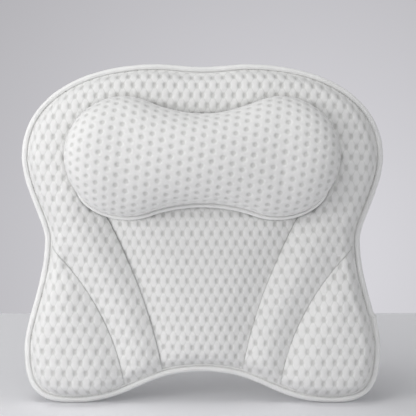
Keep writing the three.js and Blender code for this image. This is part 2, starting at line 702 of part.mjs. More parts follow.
// A washer round the eyelet's tube, inside the back panel
const washer = () => turned([
  [PANEL_HOLE, WASHER_TOP],
  [EYELET_FLANGE_RADIUS, WASHER_TOP],
  [EYELET_FLANGE_RADIUS, PAD_FLOOR],
  [PANEL_HOLE, PAD_FLOOR],
  [PANEL_HOLE, WASHER_TOP],
]);

// A round bore at a cup's place
function bore(place, radius, from, to) {
  const rod = turned([[0, to], [radius, to], [radius, from], [0, from]]);
  return toSolid(rod.translate(place.x, place.level, 0));
}

const panelHoles = cupPlaces.map((place) => bore(place, PANEL_HOLE, -BACK_CLOTH, PAD_FLOOR));
const pocketRadius = EYELET_FLANGE_RADIUS + POCKET_GAP;
const pockets = cupPlaces.map((place) => bore(place, pocketRadius, -BACK_CLOTH, CUP_HEAD_TOP + POCKET_GAP));

// Cloth, tape, stuffing and moulded finishes
const MESH_CLOTH = { color: 0xf1f1ef, roughness: 0.9 };
const TAPE_CLOTH = { color: 0xf5f5f3, roughness: 0.75 };
const STUFFING = { color: 0xfafaf8, roughness: 1 };
const LINING = { color: 0xe9e9e6, roughness: 0.95 };
const CLEAR_VINYL = { color: 0xdde5e8, roughness: 0.12 };
const WHITE_PLASTIC = { color: 0xefefec, roughness: 0.4 };

const pillow = new THREE.Group();

function addPiece(name, geometry, finish) {
  const piece = new THREE.Mesh(geometry, new THREE.MeshStandardMaterial({ metalness: 0, ...finish }));
  piece.name = name;
  pillow.add(piece);
  return piece;
}

// Quilted pads: covers and stuffing
const archGrid = padGrid(archRows(), ARCH_CROWN, {
  seams: [...bothSides(innerSeamLine), ...bothSides(outerSeamLine)], meetsRoll: true,
});
const centreGrid = padGrid(centreRows(), CENTRE_CROWN, { seams: bothSides(innerSeamLine), meetsRoll: true });
const wingGrid = padGrid(wingRows(), WING_CROWN, { seams: [outerSeamLine] });
const leftWingGrid = wingGrid.map((row) => row.map((cell) => ({ ...cell, point: mirrored(cell.point) })));
const pocketed = (geometry) => toGeometry(cutFrom(toSolid(geometry), ...pockets));

addPiece("front_cover_arch", coverBody(archGrid), MESH_CLOTH);
addPiece("front_cover_centre", coverBody(centreGrid), MESH_CLOTH);
addPiece("front_cover_wing_left", coverBody(leftWingGrid), MESH_CLOTH);
addPiece("front_cover_wing_right", coverBody(wingGrid), MESH_CLOTH);
addPiece("fill_arch", pocketed(fillBody(archGrid)), STUFFING);
addPiece("fill_centre", pocketed(fillBody(centreGrid)), STUFFING);
addPiece("fill_wing_left", pocketed(fillBody(leftWingGrid)), STUFFING);
addPiece("fill_wing_right", pocketed(fillBody(wingGrid)), STUFFING);

// Neck roll on its bed
const rollBaseTop = ROLL_BED_DEPTH;
const rollBaseFloor = ROLL_BED_DEPTH - ROLL_BASE_CLOTH;
addPiece("neck_roll_cover", rollCover(), MESH_CLOTH);
addPiece("neck_roll_fill", rollFill(), STUFFING);
addPiece("neck_roll_base", slab(rollPoints(-SEWING_INSET), rollBaseFloor, rollBaseTop), LINING);
addPiece(
  "fill_neck_bed",
  pocketed(slab(rollPoints(-SEWING_INSET), PAD_FLOOR, rollBaseFloor - FIT_GAP)),
  STUFFING,
);

// Back panel, split at the flex seams
const backCloth = cutFrom(toSolid(slab(insetRim(wholeRim, COVER_INSET), 0, BACK_CLOTH)), ...panelHoles);
const rootEdge = [1, -1].map((side) => wingRegion(side, -FLEX_BACK_GAP / 2));
addPiece("back_panel", toGeometry(cutFrom(backCloth, ...rootEdge)), MESH_CLOTH);

// Binding tape, cut at the flex seams
const tape = roundTheEdge(TAPE_SECTION);
const rootTape = cutFrom(tape, ...[1, -1].map((side) => wingRegion(side, -TAPE_END_GAP / 2)));
const upperHalf = new THREE.BoxGeometry(2 * SHOULDER_WIDTH, PILLOW_HEIGHT, 2 * HIGH_DEPTH);
const aboveFlex = toSolid(upperHalf.translate(0, (NOTCH_LEVEL + WAIST_LEVEL + PILLOW_HEIGHT) / 2, 0));
addPiece("binding_top", toGeometry(rootTape.intersect(aboveFlex)), TAPE_CLOTH);
addPiece("binding_notch", toGeometry(rootTape.subtract(aboveFlex)), TAPE_CLOTH);

for (const [name, side] of [["left", -1], ["right", 1]]) {
  const panel = backCloth.intersect(wingRegion(side, FLEX_BACK_GAP / 2));
  const strip = tape.intersect(wingRegion(side, TAPE_END_GAP / 2)).subtract(ground());
  addPiece(`back_panel_wing_${name}`, toGeometry(panel), MESH_CLOTH);
  addPiece(`binding_wing_${name}`, toGeometry(strip), TAPE_CLOTH);
}

// Suction cups with their eyelets and washers
for (const { name, x, level, turn } of cupPlaces) {
  const cup = addPiece(`suction_cup_${name}`, suctionCup(), CLEAR_VINYL);
  cup.position.set(x, level, 0);
  cup.rotation.z = turn;
  addPiece(`cup_eyelet_${name}`, eyelet(), WHITE_PLASTIC).position.set(x, level, 0);
  addPiece(`cup_washer_${name}`, washer(), WHITE_PLASTIC).position.set(x, level, 0);
}

// Stands the pillow up, leans it back and puts the middle of its footprint on the origin
pillow.rotation.x = Math.PI / 2 - LEAN;
pillow.updateMatrixWorld(true);
const standing = new THREE.Box3().setFromObject(pillow, true);
const middle = standing.getCenter(new THREE.Vector3());
pillow.position.set(0, -middle.y, -standing.min.z);

const bathPillow = new THREE.Group();
bathPillow.add(pillow);

export default bathPillow;
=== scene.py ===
"""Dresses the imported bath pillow: quilted air-mesh pads, stuffed neck roll, bound edge and suction cups.

The pieces are drawn flat, as the pillow is sewn, in (x, level, depth): x to the right as seen from the front,
level up the pillow from the bottom of its lobes, and depth towards the bather from the back panel. They are
then stood up with the lean of the frame. Lengths are in metres.
"""

import json
import math

import bmesh
import bpy
import numpy as np
from bpy.props import FloatProperty, FloatVectorProperty, PointerProperty
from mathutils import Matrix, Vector


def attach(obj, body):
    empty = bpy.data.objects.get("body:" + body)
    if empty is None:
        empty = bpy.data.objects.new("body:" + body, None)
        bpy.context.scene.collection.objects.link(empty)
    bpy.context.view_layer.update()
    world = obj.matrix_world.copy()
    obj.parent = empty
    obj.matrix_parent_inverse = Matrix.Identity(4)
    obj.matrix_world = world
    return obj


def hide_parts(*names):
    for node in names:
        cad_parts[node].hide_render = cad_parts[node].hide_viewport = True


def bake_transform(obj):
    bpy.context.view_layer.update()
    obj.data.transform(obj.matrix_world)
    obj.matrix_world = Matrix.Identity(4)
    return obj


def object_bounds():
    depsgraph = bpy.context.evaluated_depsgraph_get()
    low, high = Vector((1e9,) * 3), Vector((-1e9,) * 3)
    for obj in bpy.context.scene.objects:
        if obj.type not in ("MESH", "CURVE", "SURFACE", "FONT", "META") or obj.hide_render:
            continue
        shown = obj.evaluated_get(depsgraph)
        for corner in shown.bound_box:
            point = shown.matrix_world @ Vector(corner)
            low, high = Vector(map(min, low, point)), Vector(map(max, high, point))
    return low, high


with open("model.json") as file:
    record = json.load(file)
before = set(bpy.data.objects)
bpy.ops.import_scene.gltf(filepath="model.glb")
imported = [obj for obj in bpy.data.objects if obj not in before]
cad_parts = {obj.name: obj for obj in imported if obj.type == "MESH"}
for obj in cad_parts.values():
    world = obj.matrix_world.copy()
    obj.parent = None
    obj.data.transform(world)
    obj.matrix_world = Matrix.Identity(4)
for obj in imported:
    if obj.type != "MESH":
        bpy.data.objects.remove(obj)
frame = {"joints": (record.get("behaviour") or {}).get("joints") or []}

bl_info = {
    "name": "Bath pillow",
    "version": (1, 0, 0),
    "blender": (4, 5, 0),
    "location": "View3D > Sidebar > Bath pillow",
    "description": "Sews, stuffs and lights a quilted bath pillow round its packed frame",
    "category": "Object",
}

MM = 0.001
LEVEL = np.array([1.0, 0.0])
UPRIGHT = np.array([0.0, 1.0])
MIRROR = np.array([-1.0, 1.0])
JOINTS = {joint["name"]: joint for joint in frame["joints"]}
CUP_ROWS = ("top", "middle", "low")
SIDES = {"left": -1, "right": 1}
CAD_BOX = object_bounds()

# Outline: how far the handles at a curve's two ends reach, as shares of the step between the ends
CROWN_PULL = (0.4, 0.3)
SHOULDER_PULL = (0.62, 0.59)
FLANK_PULL = (0.36, 0.21)
HIP_PULL = (0.39, 0.25)
LOBE_PULL = (0.68, 0.8)
NOTCH_PULL = (0.47, 0.47)
# Where the inner seam meets the roll, as a turn from level about the middle of the roll's lobe
INNER_SEAM_TURN = math.radians(-60)
CURVE_POINTS, SEAM_POINTS = 81, 121

# Sewing: from a seam's line to the cloth beside it, and how far cloth reaches in under the tape
SEAM_GAP = 0.15 * MM
UNDER_TAPE = 3 * MM
# Points of a piece that are nearer to each other than this are one point.
WELD = 0.02 * MM

# Pads: cells of their grids before these are made finer, which crowd towards the edges
ARCH_LEG_POINTS, ARCH_TOP_POINTS, ARCH_COLUMNS = 41, 97, 14
CENTRE_ROWS, CENTRE_COLUMNS = 36, 34
WING_ROWS, WING_COLUMNS = 44, 20
EASING = 0.45
ARCH_FINER, PAD_FINER, ROLL_FINER = (4, 5), (5, 5), (6, 6)
# Shares of a pad's rise that its rounding and its slope make at the rim
ROUND_RISE, SLOPE_RISE = 0.68, 0.32
# Share of a pad's crown that it has before it swells
PAD_FULLNESS = 0.95
# Where the tape draws a seam's end shut at the waist, the pads beside it are nearly as full as their middles.
WAIST_FULLNESS = 0.92
WAIST_REACH = (45 * MM, 10 * MM)

# Swelling: pressure, give and steps of the simulation, and about how far the cloth of pads and roll may move
PRESSURE = 4
CLOTH_GIVE = 0.01
CLOTH_STEPS = 20
SMOOTHING_ROUNDS = 4
PAD_SWELL, ROLL_SWELL = 5 * MM, 2.2 * MM

# Mesh: half width and half height of a dimple, as modelled and as shaded
PAD_PIT, PAD_SHADE = (2.7 * MM, 3.7 * MM), (2.5 * MM, 3.4 * MM)
ROLL_PIT, ROLL_SHADE = (3.0 * MM, 3.0 * MM), (2.9 * MM, 2.9 * MM)
BACK_PIT = (2.4 * MM, 3.6 * MM)
PIT_POWER, PUFF_POWER, PUFF_LEVEL = 1.1, 0.3, 0.7
# How strongly creases are marked on the pads and on the roll: painted shade in their colour, and their bump
PAD_CREASES, ROLL_CREASES = 0.6, 0.0
# The roll's creases and dimples as shares of the pads', and those of the back panels
ROLL_CREASE_SHARE, ROLL_DIMPLE_SHARE = 0.15, 0.75
BACK_CREASE, BACK_DEPTH = 0.6 * MM, 1.2 * MM
# Distances from a sewn edge between which the dimples come in
PAD_FADE, ROLL_FADE, BACK_FADE = (0.3 * MM, 5 * MM), (6 * MM, 30 * MM), (0.5 * MM, 6 * MM)
# How far each pad's mesh is stretched when it is sewn, and the share of its rise that it is laid flat with
ARCH_STRETCH, CENTRE_STRETCH, WING_STRETCH = 1.06, 0.98, 1.1
FLAT_RISE = 0.55
UNROLLING_ROUNDS = 700

# Neck roll: points along each flank and round each end of its sewing line
ROLL_FLANK_POINTS, ROLL_END_POINTS = 140, 160
# Points of that line for measuring from it, cutting pads to it and sewing its lip
ROLL_MEASURED, ROLL_CUT, ROLL_SEWN = 300, 1200, 361
ROLL_STATIONS, QUARTER_POINTS, PROFILE_POINTS = 42, 161, 121
ROLL_COLUMN_POINTS, ROLL_ROW_POINTS = 69, 35
# Powers of its dome, how far its foot tucks in, and the slant of its mesh
ROLL_FULLNESS, ROLL_END_FLATNESS = 2.3, 1.5
ROLL_TUCK = 2 * MM
ROLL_GRAIN = math.radians(6.5)
# Its lip cut across, from under the roll outwards, in millimetres: places past the sewing line where it shows
# and where it is hidden, and lifts off the pads
LIP_PLACES = np.array([-3, 1, 4, 6.3, 7.0, 7.5, 8.1, 9.2, 10.4])
LIP_HIDDEN = np.linspace(-3, 3.5, 9)
LIP_LIFTS = np.array([0, 0, 0.4, 1.6, 2.4, 2.9, 3.1, 2.9, 2.2])
LIP_GAP = 0.3
LIP_THICKNESS, LIP_CLOTH = 1.4 * MM, 10 * MM
# It shows where the sewing line faces down by between these shares, and is laid on the pads from this depth.
LIP_SHOWS = (0.3, 0.8)
LIP_RAY_START = 120 * MM

# Back panels: spacing of their points, depth of their front, how far they swell, and their eyelet holes
PANEL_STEP = 2.2 * MM
PANEL_FRONT = 2.9 * MM
PANEL_SWELL, PANEL_ROUNDING = 2.6 * MM, 24 * MM
PANEL_HOLE, PANEL_HOLE_POINTS = 7.7 * MM, 32
EYELET_GRIP = 14 * MM

# Binding: spacing of its points, depth of its middle, and the length and lag of its puckers
TAPE_STEP = 1.2 * MM
TAPE_MIDDLE = 2.9 * MM
PUCKERS = ((0.037, 0.0), (0.0213, 1.3))
PUCKER_SWELL, STITCH_SWELL = 0.03, 0.012
PUCKER_SHIFT, PUCKER_REACH = 0.12 * MM, 2 * MM
# Where its ends overlap: how far the lap and its fold reach, and how much thicker and wider they are
LAP_FADE, LAP_SWELL, LAP_SHIFT = 30 * MM, 0.06, 1.5 * MM
FOLD_REACH, FOLD_SWELL, FOLD_SHIFT = 2.2 * MM, 0.16, 1.4 * MM
# A stitch's rings along its length, their radii, the depths of the front and back rows, and their place
STITCH_SIDES = 6
STITCH_STATIONS = np.array([-0.5, -0.38, 0.0, 0.38, 0.5]) * 2.5 * MM
STITCH_RADII = np.array([0.25, 0.85, 1.0, 0.85, 0.25]) * 0.34 * MM
STITCH_DEPTHS = (6.15 * MM, -1.2 * MM)
STITCH_INSET = 0.35 * MM

# Wings: distances outside the hinge at which Stand.flex places the start and end of a wing's turn about it.
FLEX_START, FLEX_END = 8.5 * MM, 30 * MM

# Cups of the lower two rows: distance from the middle, and level
MIDDLE_CUP = (132 * MM, 192 * MM)
LOW_CUP = (138 * MM, 37.64 * MM)

# Stage: half the table's width and its far edge, where its painted shade fades out going away, and the tone
# of its near part under that painted shade
TABLE_REACH, TABLE_EDGE = 3.0, 0.452
TABLE_NEAR, TABLE_FAR = -0.1, 0.42
TABLE_SHADE = 0.88
# The heading of the pool of light painted on the backdrop, and how far from it the backdrop is darkest and
# brightest
BACKDROP_HEADING = (0.06, 0.984, -0.168)
BACKDROP_REACH = (0.28, 0.06)
# The light tent's dim heading, the shares of it between which its light falls off, and its light at each
TENT_HEADING = (0.4, 0.92, 0)
TENT_SPAN = (-0.25, 0.55)
TENT_LIGHT = (0.555, 0.09)
TENT_TINT = (0.985, 0.99, 1.0, 1)
# Each lamp's place, width in metres, power in watts and tint, and what they all face
LAMPS = {
    "key softbox": ((-0.95, -0.75, 0.5), 0.6, 5.0, (1.0, 0.99, 0.98)),
    "top softbox": ((-0.5, -0.3, 1.9), 1.0, 8.4, (1.0, 1.0, 1.0)),
    "side softbox": ((1.3, -0.3, 0.4), 0.6, 1.2, (1.0, 1.0, 1.0)),
    "back softbox": ((0.5, 2.2, 0.06), 0.5, 12, (1.0, 1.0, 1.0)),
}
LAMP_TARGET = (0, 0, 0.18)
# The drawn point in the middle of the picture, and the camera's tilt, distance and half width of view there
VIEW_MIDDLE = np.array([6.2 * MM, 213.1 * MM, 6 * MM])
VIEW_PITCH = math.radians(7.5)
VIEW_DISTANCE = 1.5
VIEW_HALF_WIDTH = 0.2284
SENSOR_WIDTH = 36


def linear(code):
    """An sRGB hex colour as linear red, green, blue and alpha."""
    channels = [int(code[i : i + 2], 16) / 255 for i in (0, 2, 4)]
    return [*(c / 12.92 if c <= 0.04045 else ((c + 0.055) / 1.055) ** 2.4 for c in channels), 1.0]


def length(name, millimetres, description):
    """A length that the panel shows, given in millimetres."""
    return FloatProperty(name=name, description=description, default=millimetres * MM, min=0, unit="LENGTH")


def colour(name, code, description):
    """A colour that the panel shows, given as an sRGB hex value."""
    return FloatVectorProperty(
        name=name, description=description, default=linear(code), size=4, min=0, max=1, subtype="COLOR"
    )


class BathPillowSizes(bpy.types.PropertyGroup):
    """Sizes of the sewn pillow, as it is cut and stuffed."""

    height: length("Height", 372, "From the bottom of the lobes to the crown, along the pillow")
    crown_spread: length("Crown spread", 96, "Between the two high points of the top edge")
    crown_dip: length("Crown dip", 3, "How far the top edge dips between its high points")
    shoulder_width: length("Shoulder width", 398, "Width at the shoulders")
    shoulder_level: length("Shoulder level", 270, "Level of the widest part of the shoulders")
    waist_width: length("Waist width", 346, "Width at the drawn-in waist")
    waist_level: length("Waist level", 178, "Level of the waist")
    lobe_width: length("Lobe width", 390, "Width across the two lower lobes")
    lobe_level: length("Lobe level", 60, "Level of the widest part of the lobes")
    foot_spread: length("Foot spread", 286, "Between the lowest points of the lobes")
    notch_level: length("Notch level", 34, "Level of the bottom edge between the lobes")
    outer_seam_foot: length("Outer seam foot", 84, "From the middle to the foot of the seam beside a wing")
    outer_seam_out: length("Outer seam bend", 94, "From the middle to the bend of the seam beside a wing")
    outer_seam_level: length("Outer seam bend level", 102, "Level of that seam's bend")
    inner_seam_foot: length("Inner seam foot", 42.5, "From the middle to the foot of the centre panel's seam")
    inner_seam_out: length("Inner seam bend", 56, "From the middle to the bend of the centre panel's seam")
    inner_seam_level: length("Inner seam bend level", 116, "Level of that seam's bend")
    roll_level: length("Roll level", 268, "Level of the neck roll's middle line")
    roll_spread: length("Roll spread", 166, "Between the middles of the roll's two lobes")
    roll_lobe: length("Roll lobe radius", 58, "Radius of the sewing line round each lobe of the roll")
    roll_waist: length("Roll waist", 84, "Height of the sewing line at the roll's waist")
    roll_sag: length("Roll sag", 2.6, "How far the roll's waist sinks below its lobes")
    roll_overhang: length("Roll overhang", 6, "How far the roll swells past its sewing line")
    roll_bed: length("Roll bed depth", 16, "Depth at which the roll is sewn on")
    roll_equator: length("Roll widest depth", 37, "Depth at which the roll is widest")
    roll_lobe_depth: length("Roll lobe depth", 83.5, "Depth of the crest of its lobes before it swells")
    roll_waist_depth: length("Roll waist depth", 88, "Depth of the crest of its waist before it swells")
    roll_nest: length("Roll nest", 16.8, "Depth of the pads where the roll presses into them")
    nest_rounding: length("Nest rounding", 13, "How far a pad takes to rise from the roll")
    arch_crown: length("Arch crown", 32, "Depth of the face of the arch pad")
    centre_crown: length("Centre crown", 27, "Depth of the face of the centre pad")
    wing_crown: length("Wing crown", 34, "Depth of the face of each wing pad")
    pad_rounding: length("Pad rounding", 35, "How far a pad takes to rise from its seam")
    rim_rounding: length("Rim rounding", 12, "How far a pad takes to round up from the binding")
    rim_slope: length("Rim slope", 36, "How far a pad goes on rising gently from the binding")
    seam_fullness: FloatProperty(
        name="Seam fullness", description="Share of a pad's crown that is left at its seams", default=0.52,
        min=0, max=1, subtype="FACTOR"
    )
    pinch: length("Seam depth", 4.9, "Depth of the front cloth where it is stitched down")
    floor: length("Pad floor", 3.3, "Depth of the underside of the stuffing")
    tape_width: length("Tape width", 8.4, "How far the binding tape reaches in from the edge")
    tape_round: length("Tape bead", 6.2, "Width of the rounded bead that the tape folds round")
    dimple_pitch: length("Dimple pitch", 10.8, "Spacing of the mesh's dimples along a row")
    dimple_row: length("Dimple rows", 10.5, "Spacing of the rows of dimples")
    roll_dimple_pitch: length("Roll dimple pitch", 10.9, "Spacing of the dimples up the roll's columns")
    roll_dimple_row: length("Roll dimple columns", 10.7, "Spacing of the roll's columns of dimples")
    dimple_depth: length("Dimple depth", 1.2, "Depth of a dimple below the cloth's face")
    crease_depth: length("Crease depth", 0.14, "Depth of the creases that join the dimples")
    tape_join: length("Tape join", 97, "Level at which the tape's ends overlap, on the right")
    stitch_pitch: length("Stitch pitch", 3.6, "Spacing of the stitches in the binding")
    cup_out_top: length("Top cup place", 100, "From the middle to the top cups")
    cup_level_top: length("Top cup level", 298, "Level of the top cups")
    cup_standoff: length("Cup standoff", 26, "From the back panel to the plane of a cup's lip")
    cup_radius: length("Cup radius", 33, "Radius of a suction cup's lip")


class BathPillowColours(bpy.types.PropertyGroup):
    """Colours of the pillow and of what it stands in."""

    cloth: colour("Mesh cloth", "F0F0EF", "Face of the polyester air mesh")
    # The dimple colour is partly the greyer spacer yarn and partly painted shade at the bottom of each
    # hollow.
    dimple: colour("Dimple", "D6D6D4", "Shaded spacer yarn at the bottom of a dimple")
    # The crease colour is painted shade in the folds between the dimples.
    crease: colour("Crease", "D5D5D3", "Creases between the dimples")
    tape: colour("Binding tape", "F8F8F7", "Woven binding tape")
    thread: colour("Thread", "FAFAF8", "Sewing thread")
    vinyl: colour("Clear vinyl", "F6FAFB", "Suction cups")
    plastic: colour("White plastic", "EDEDEA", "Eyelets and washers")
    table: colour("Table", "FBFBFE", "Pale table top")
    # The backdrop's two tones are painted light: painted shade towards its corners, a painted pool of light
    # in its middle.
    backdrop_dark: colour("Backdrop edge", "B6B5B9", "Backdrop towards its upper corners")
    backdrop_light: colour("Backdrop middle", "D6D5DA", "Backdrop where it is brightest")


def soft_curve(start, start_along, end, end_along, pull):
    """A cubic curve's points from start to end, leaving and arriving along level or upright lines."""
    step = end - start
    share = np.linspace(0, 1, CURVE_POINTS)[:, None]
    first = start + step * start_along * pull[0]
    second = end - step * end_along * pull[1]
    rest = 1 - share
    return rest**3 * start + 3 * rest**2 * share * first + 3 * rest * share**2 * second + share**3 * end


def bent_seam(start, bend, end):
    """A seam's points from start to end, drawn towards its bend."""
    share = np.linspace(0, 1, SEAM_POINTS)[:, None]
    return (1 - share) ** 2 * start + 2 * (1 - share) * share * bend + share**2 * end


def run_length(line):
    """Distance along a line to each of its points."""
    return np.concatenate([[0], np.cumsum(np.linalg.norm(np.diff(line, axis=0), axis=1))])


def spaced(line, shares):
    """Points of a line at the given shares of its length."""
    along = run_length(line)
    places = np.asarray(shares) * along[-1]
    return np.stack([np.interp(places, along, line[:, k]) for k in range(line.shape[1])], -1)


def inward(line):
    """Unit normals to the right of a line's direction of travel."""
    along = np.gradient(line, axis=0)
    along /= np.linalg.norm(along, axis=1, keepdims=True)
    return np.stack([along[:, 1], -along[:, 0]], -1)


def nearest_on(points, line):
    """How far each plan point is from a line, and the closest place on it."""
    least = np.full(len(points), np.inf)
    place = np.zeros_like(points)
    for start, along in zip(line[:-1], np.diff(line, axis=0)):
        offset = points - start
        share = np.clip(offset @ along / max(along @ along, 1e-18), 0, 1)[:, None]
        far = np.hypot(*(offset - share * along).T)
        closer = far < least
        least[closer] = far[closer]
        place[closer] = (start + share * along)[closer]
    return least, place


def distance(points, line):
    """Distance of each plan point from a line."""
    return nearest_on(points.reshape(-1, 2), line)[0].reshape(points.shape[:-1])


def cut_between(line, start, end):
    """The part of a line between the places nearest to two points, which become its ends."""
    first = np.argmin(np.hypot(*(line - start).T))
    last = np.argmin(np.hypot(*(line - end).T))
    return np.concatenate([[start], line[first + 1 : last], [end]])


def eased(count):
    """Shares from 0 to 1 that lie closer together towards both ends."""
    share = np.linspace(0, 1, count + 1)
    return share - EASING * np.sin(2 * np.pi * share) / (2 * np.pi)


class Drawing:
    """The pillow drawn flat. Lines are the right-hand half's, and the rim runs down from the top middle."""

    def __init__(self, size):
        self.size = size
        dip = np.array([0.0, size.height - size.crown_dip])
        crown = np.array([size.crown_spread / 2, size.height])
        shoulder = np.array([size.shoulder_width / 2, size.shoulder_level])
        self.waist = np.array([size.waist_width / 2, size.waist_level])
        lobe = np.array([size.lobe_width / 2, size.lobe_level])
        foot = np.array([size.foot_spread / 2, 0.0])
        notch = soft_curve(foot, LEVEL, np.array([0.0, size.notch_level]), LEVEL, NOTCH_PULL)
        self.rim = self.chain(
            soft_curve(dip, LEVEL, crown, LEVEL, CROWN_PULL),
            soft_curve(crown, LEVEL, shoulder, UPRIGHT, SHOULDER_PULL),
            soft_curve(shoulder, UPRIGHT, self.waist, UPRIGHT, FLANK_PULL),
            soft_curve(self.waist, UPRIGHT, lobe, UPRIGHT, HIP_PULL),
            soft_curve(lobe, UPRIGHT, foot, LEVEL, LOBE_PULL),
            notch,
        )
        self.outer_foot = self.on_notch(notch, size.outer_seam_foot)
        self.inner_foot = self.on_notch(notch, size.inner_seam_foot)
        self.outer_seam = bent_seam(
            self.outer_foot, np.array([size.outer_seam_out, size.outer_seam_level]), self.waist
        )
        seam_top = np.array([size.roll_spread / 2, size.roll_level]) + size.roll_lobe * np.array(
            [math.cos(INNER_SEAM_TURN), math.sin(INNER_SEAM_TURN)]
        )
        self.inner_seam = bent_seam(
            self.inner_foot, np.array([size.inner_seam_out, size.inner_seam_level]), seam_top
        )
        waist = size.roll_waist / 2
        out = size.roll_spread / 2
        self.hollow = (waist**2 + out**2 - size.roll_lobe**2) / (2 * (size.roll_lobe - waist))
        self.closed_rim = np.concatenate([self.rim, self.rim[-2:0:-1] * MIRROR])

    @staticmethod
    def chain(*curves):
        """Curves that follow on from each other as one line."""
        return np.concatenate([curves[0], *(curve[1:] for curve in curves[1:])])

    @staticmethod
    def on_notch(notch, out):
        """The point of the notch curve that lies so far out from the middle."""
        return np.array([out, np.interp(out, notch[::-1, 0], notch[::-1, 1])])

    def roll_half_height(self, out, offset):
        """Half the roll's height at a distance from its middle, with its outline moved outwards."""
        out = np.abs(out)
        size = self.size
        spread = size.roll_spread / 2
        lobe = size.roll_lobe + offset
        hollow = self.hollow - offset
        join = spread - lobe * spread / (self.hollow + size.roll_lobe)
        hollowed = self.hollow + size.roll_waist / 2 - np.sqrt(np.maximum(hollow**2 - out**2, 0))
        rounded = np.sqrt(np.maximum(lobe**2 - (out - spread) ** 2, 0))
        return np.where(out < join, hollowed, rounded)

    def roll_outline(self, count):
        """The roll's whole sewing line, anticlockwise from the foot of its waist."""
        spread = self.size.roll_spread / 2
        out = np.linspace(0, spread, ROLL_FLANK_POINTS)
        foot = np.stack([out, -self.roll_half_height(out, 0.0)], -1)
        turn = np.linspace(-np.pi / 2, np.pi / 2, ROLL_END_POINTS)[1:-1]
        lobe = self.size.roll_lobe
        cap = np.stack([spread + lobe * np.cos(turn), lobe * np.sin(turn)], -1)
        half = np.concatenate([foot, cap, foot[::-1] * (1, -1)])
        whole = np.concatenate([half, half[-2::-1] * MIRROR]) + (0, self.size.roll_level)
        return spaced(whole, np.linspace(0, 1, count))

    def sag(self, out):
        """How far the roll hangs below its drawn place, so far from its middle."""
        return self.size.roll_sag * (1 - np.clip(np.abs(out) / self.size.roll_spread * 2, 0, 1) ** 2)

    def seams(self):
        """Both seams on both sides."""
        return [line * side for line in (self.outer_seam, self.inner_seam) for side in ((1, 1), MIRROR)]

    def pad_face(self, plan, crown):
        """Depth of a stuffed pad's face at plan points, and the distance to its nearest sewn edge."""
        size = self.size

        def risen(gap, reach):
            """A quarter wave that rises from 0 at a sewn line to 1 at its reach."""
            return np.sin(np.pi / 2 * np.clip(gap / reach, 0, 1))

        edge = np.maximum(distance(plan, self.closed_rim) - size.tape_width, 0)
        rise = ROUND_RISE * (1 - (1 - np.clip(edge / size.rim_rounding, 0, 1)) ** 2)
        rise = rise + SLOPE_RISE * risen(edge, size.rim_slope)
        nearest = edge
        waist = np.hypot(np.abs(plan[..., 0]) - self.waist[0], plan[..., 1] - self.waist[1])
        held = size.seam_fullness + (WAIST_FULLNESS - size.seam_fullness) * smooth_step(*WAIST_REACH, waist)
        for seam in self.seams():
            gap = distance(plan, seam)
            nearest = np.minimum(nearest, gap)
            rise = rise * (held + (1 - held) * risen(gap, size.pad_rounding))
        top = size.pinch + (crown - size.pinch) * PAD_FULLNESS
        gap = distance(plan, self.roll_outline(ROLL_MEASURED))
        held = (size.roll_nest - size.pinch) / (top - size.pinch)
        rise = rise * (held + (1 - held) * risen(gap, size.nest_rounding))
        return size.pinch + (top - size.pinch) * rise, np.minimum(nearest, gap)


def between(inner, outer, shares):
    """A grid of plan points on straight lines from one line's points to the other's."""
    return inner[:, None] * (1 - shares[None, :, None]) + outer[:, None] * shares[None, :, None]


def patch(foot, top, left, right):
    """A grid of plan points that fills four edges; foot and top run to the right, left and right run up."""
    u = np.linspace(0, 1, len(foot))[None, :, None]
    v = np.linspace(0, 1, len(left))[:, None, None]
    ruled = foot[None] * (1 - v) + top[None] * v + left[:, None] * (1 - u) + right[:, None] * u
    corners = (1 - u) * (1 - v) * foot[0] + u * (1 - v) * foot[-1] + (1 - u) * v * top[0] + u * v * top[-1]
    return ruled - corners


def refine(grid, factors):
    """A finer grid through the same points, by smooth curves both ways."""
    for axis, factor in enumerate(factors):
        run = np.moveaxis(grid, axis, 0)
        ends = np.concatenate([2 * run[:1] - run[1:2], run, 2 * run[-1:] - run[-2:-1]])
        place = np.arange((len(run) - 1) * factor + 1) / factor
        index = np.minimum(place.astype(int), len(run) - 2)
        t = (place - index).reshape(-1, *[1] * (run.ndim - 1))
        a, b, c, d = (ends[index + k] for k in range(4))
        fine = b + 0.5 * t * (c - a + t * (2 * a - 5 * b + 4 * c - d + t * (3 * (b - c) + d - a)))
        grid = np.moveaxis(fine, 0, axis)
    return grid


def unrolled(grid):
    """Where each point of a cloth lay when it was flat: edges keep their length and their direction."""
    flat = grid[..., :2].copy()
    steps = []
    for axis in (0, 1):
        step = np.diff(grid, axis=axis)
        plan = np.linalg.norm(step[..., :2], axis=-1, keepdims=True)
        steps.append(step[..., :2] * np.linalg.norm(step, axis=-1, keepdims=True) / np.maximum(plan, 1e-7))
    count = np.full((*flat.shape[:2], 1), 4.0)
    for border in (count[0], count[-1], count[:, 0], count[:, -1]):
        border -= 1
    for _ in range(UNROLLING_ROUNDS):
        total = np.zeros_like(flat)
        total[1:] += flat[:-1] + steps[0]
        total[:-1] += flat[1:] - steps[0]
        total[:, 1:] += flat[:, :-1] + steps[1]
        total[:, :-1] += flat[:, 1:] - steps[1]
        flat = total / count
    return flat


def face_normals(grid):
    """Unit normals of a grid, on the side that mostly faces the front."""
    normal = np.cross(np.gradient(grid, axis=0), np.gradient(grid, axis=1))
    normal /= np.maximum(np.linalg.norm(normal, axis=-1, keepdims=True), 1e-12)
    return normal if normal[..., 2].mean() > 0 else -normal


def smooth_step(low, high, value):
    """A soft step from 0 at low to 1 at high."""
    share = np.clip((value - low) / (high - low), 0, 1)
    return share * share * (3 - 2 * share)


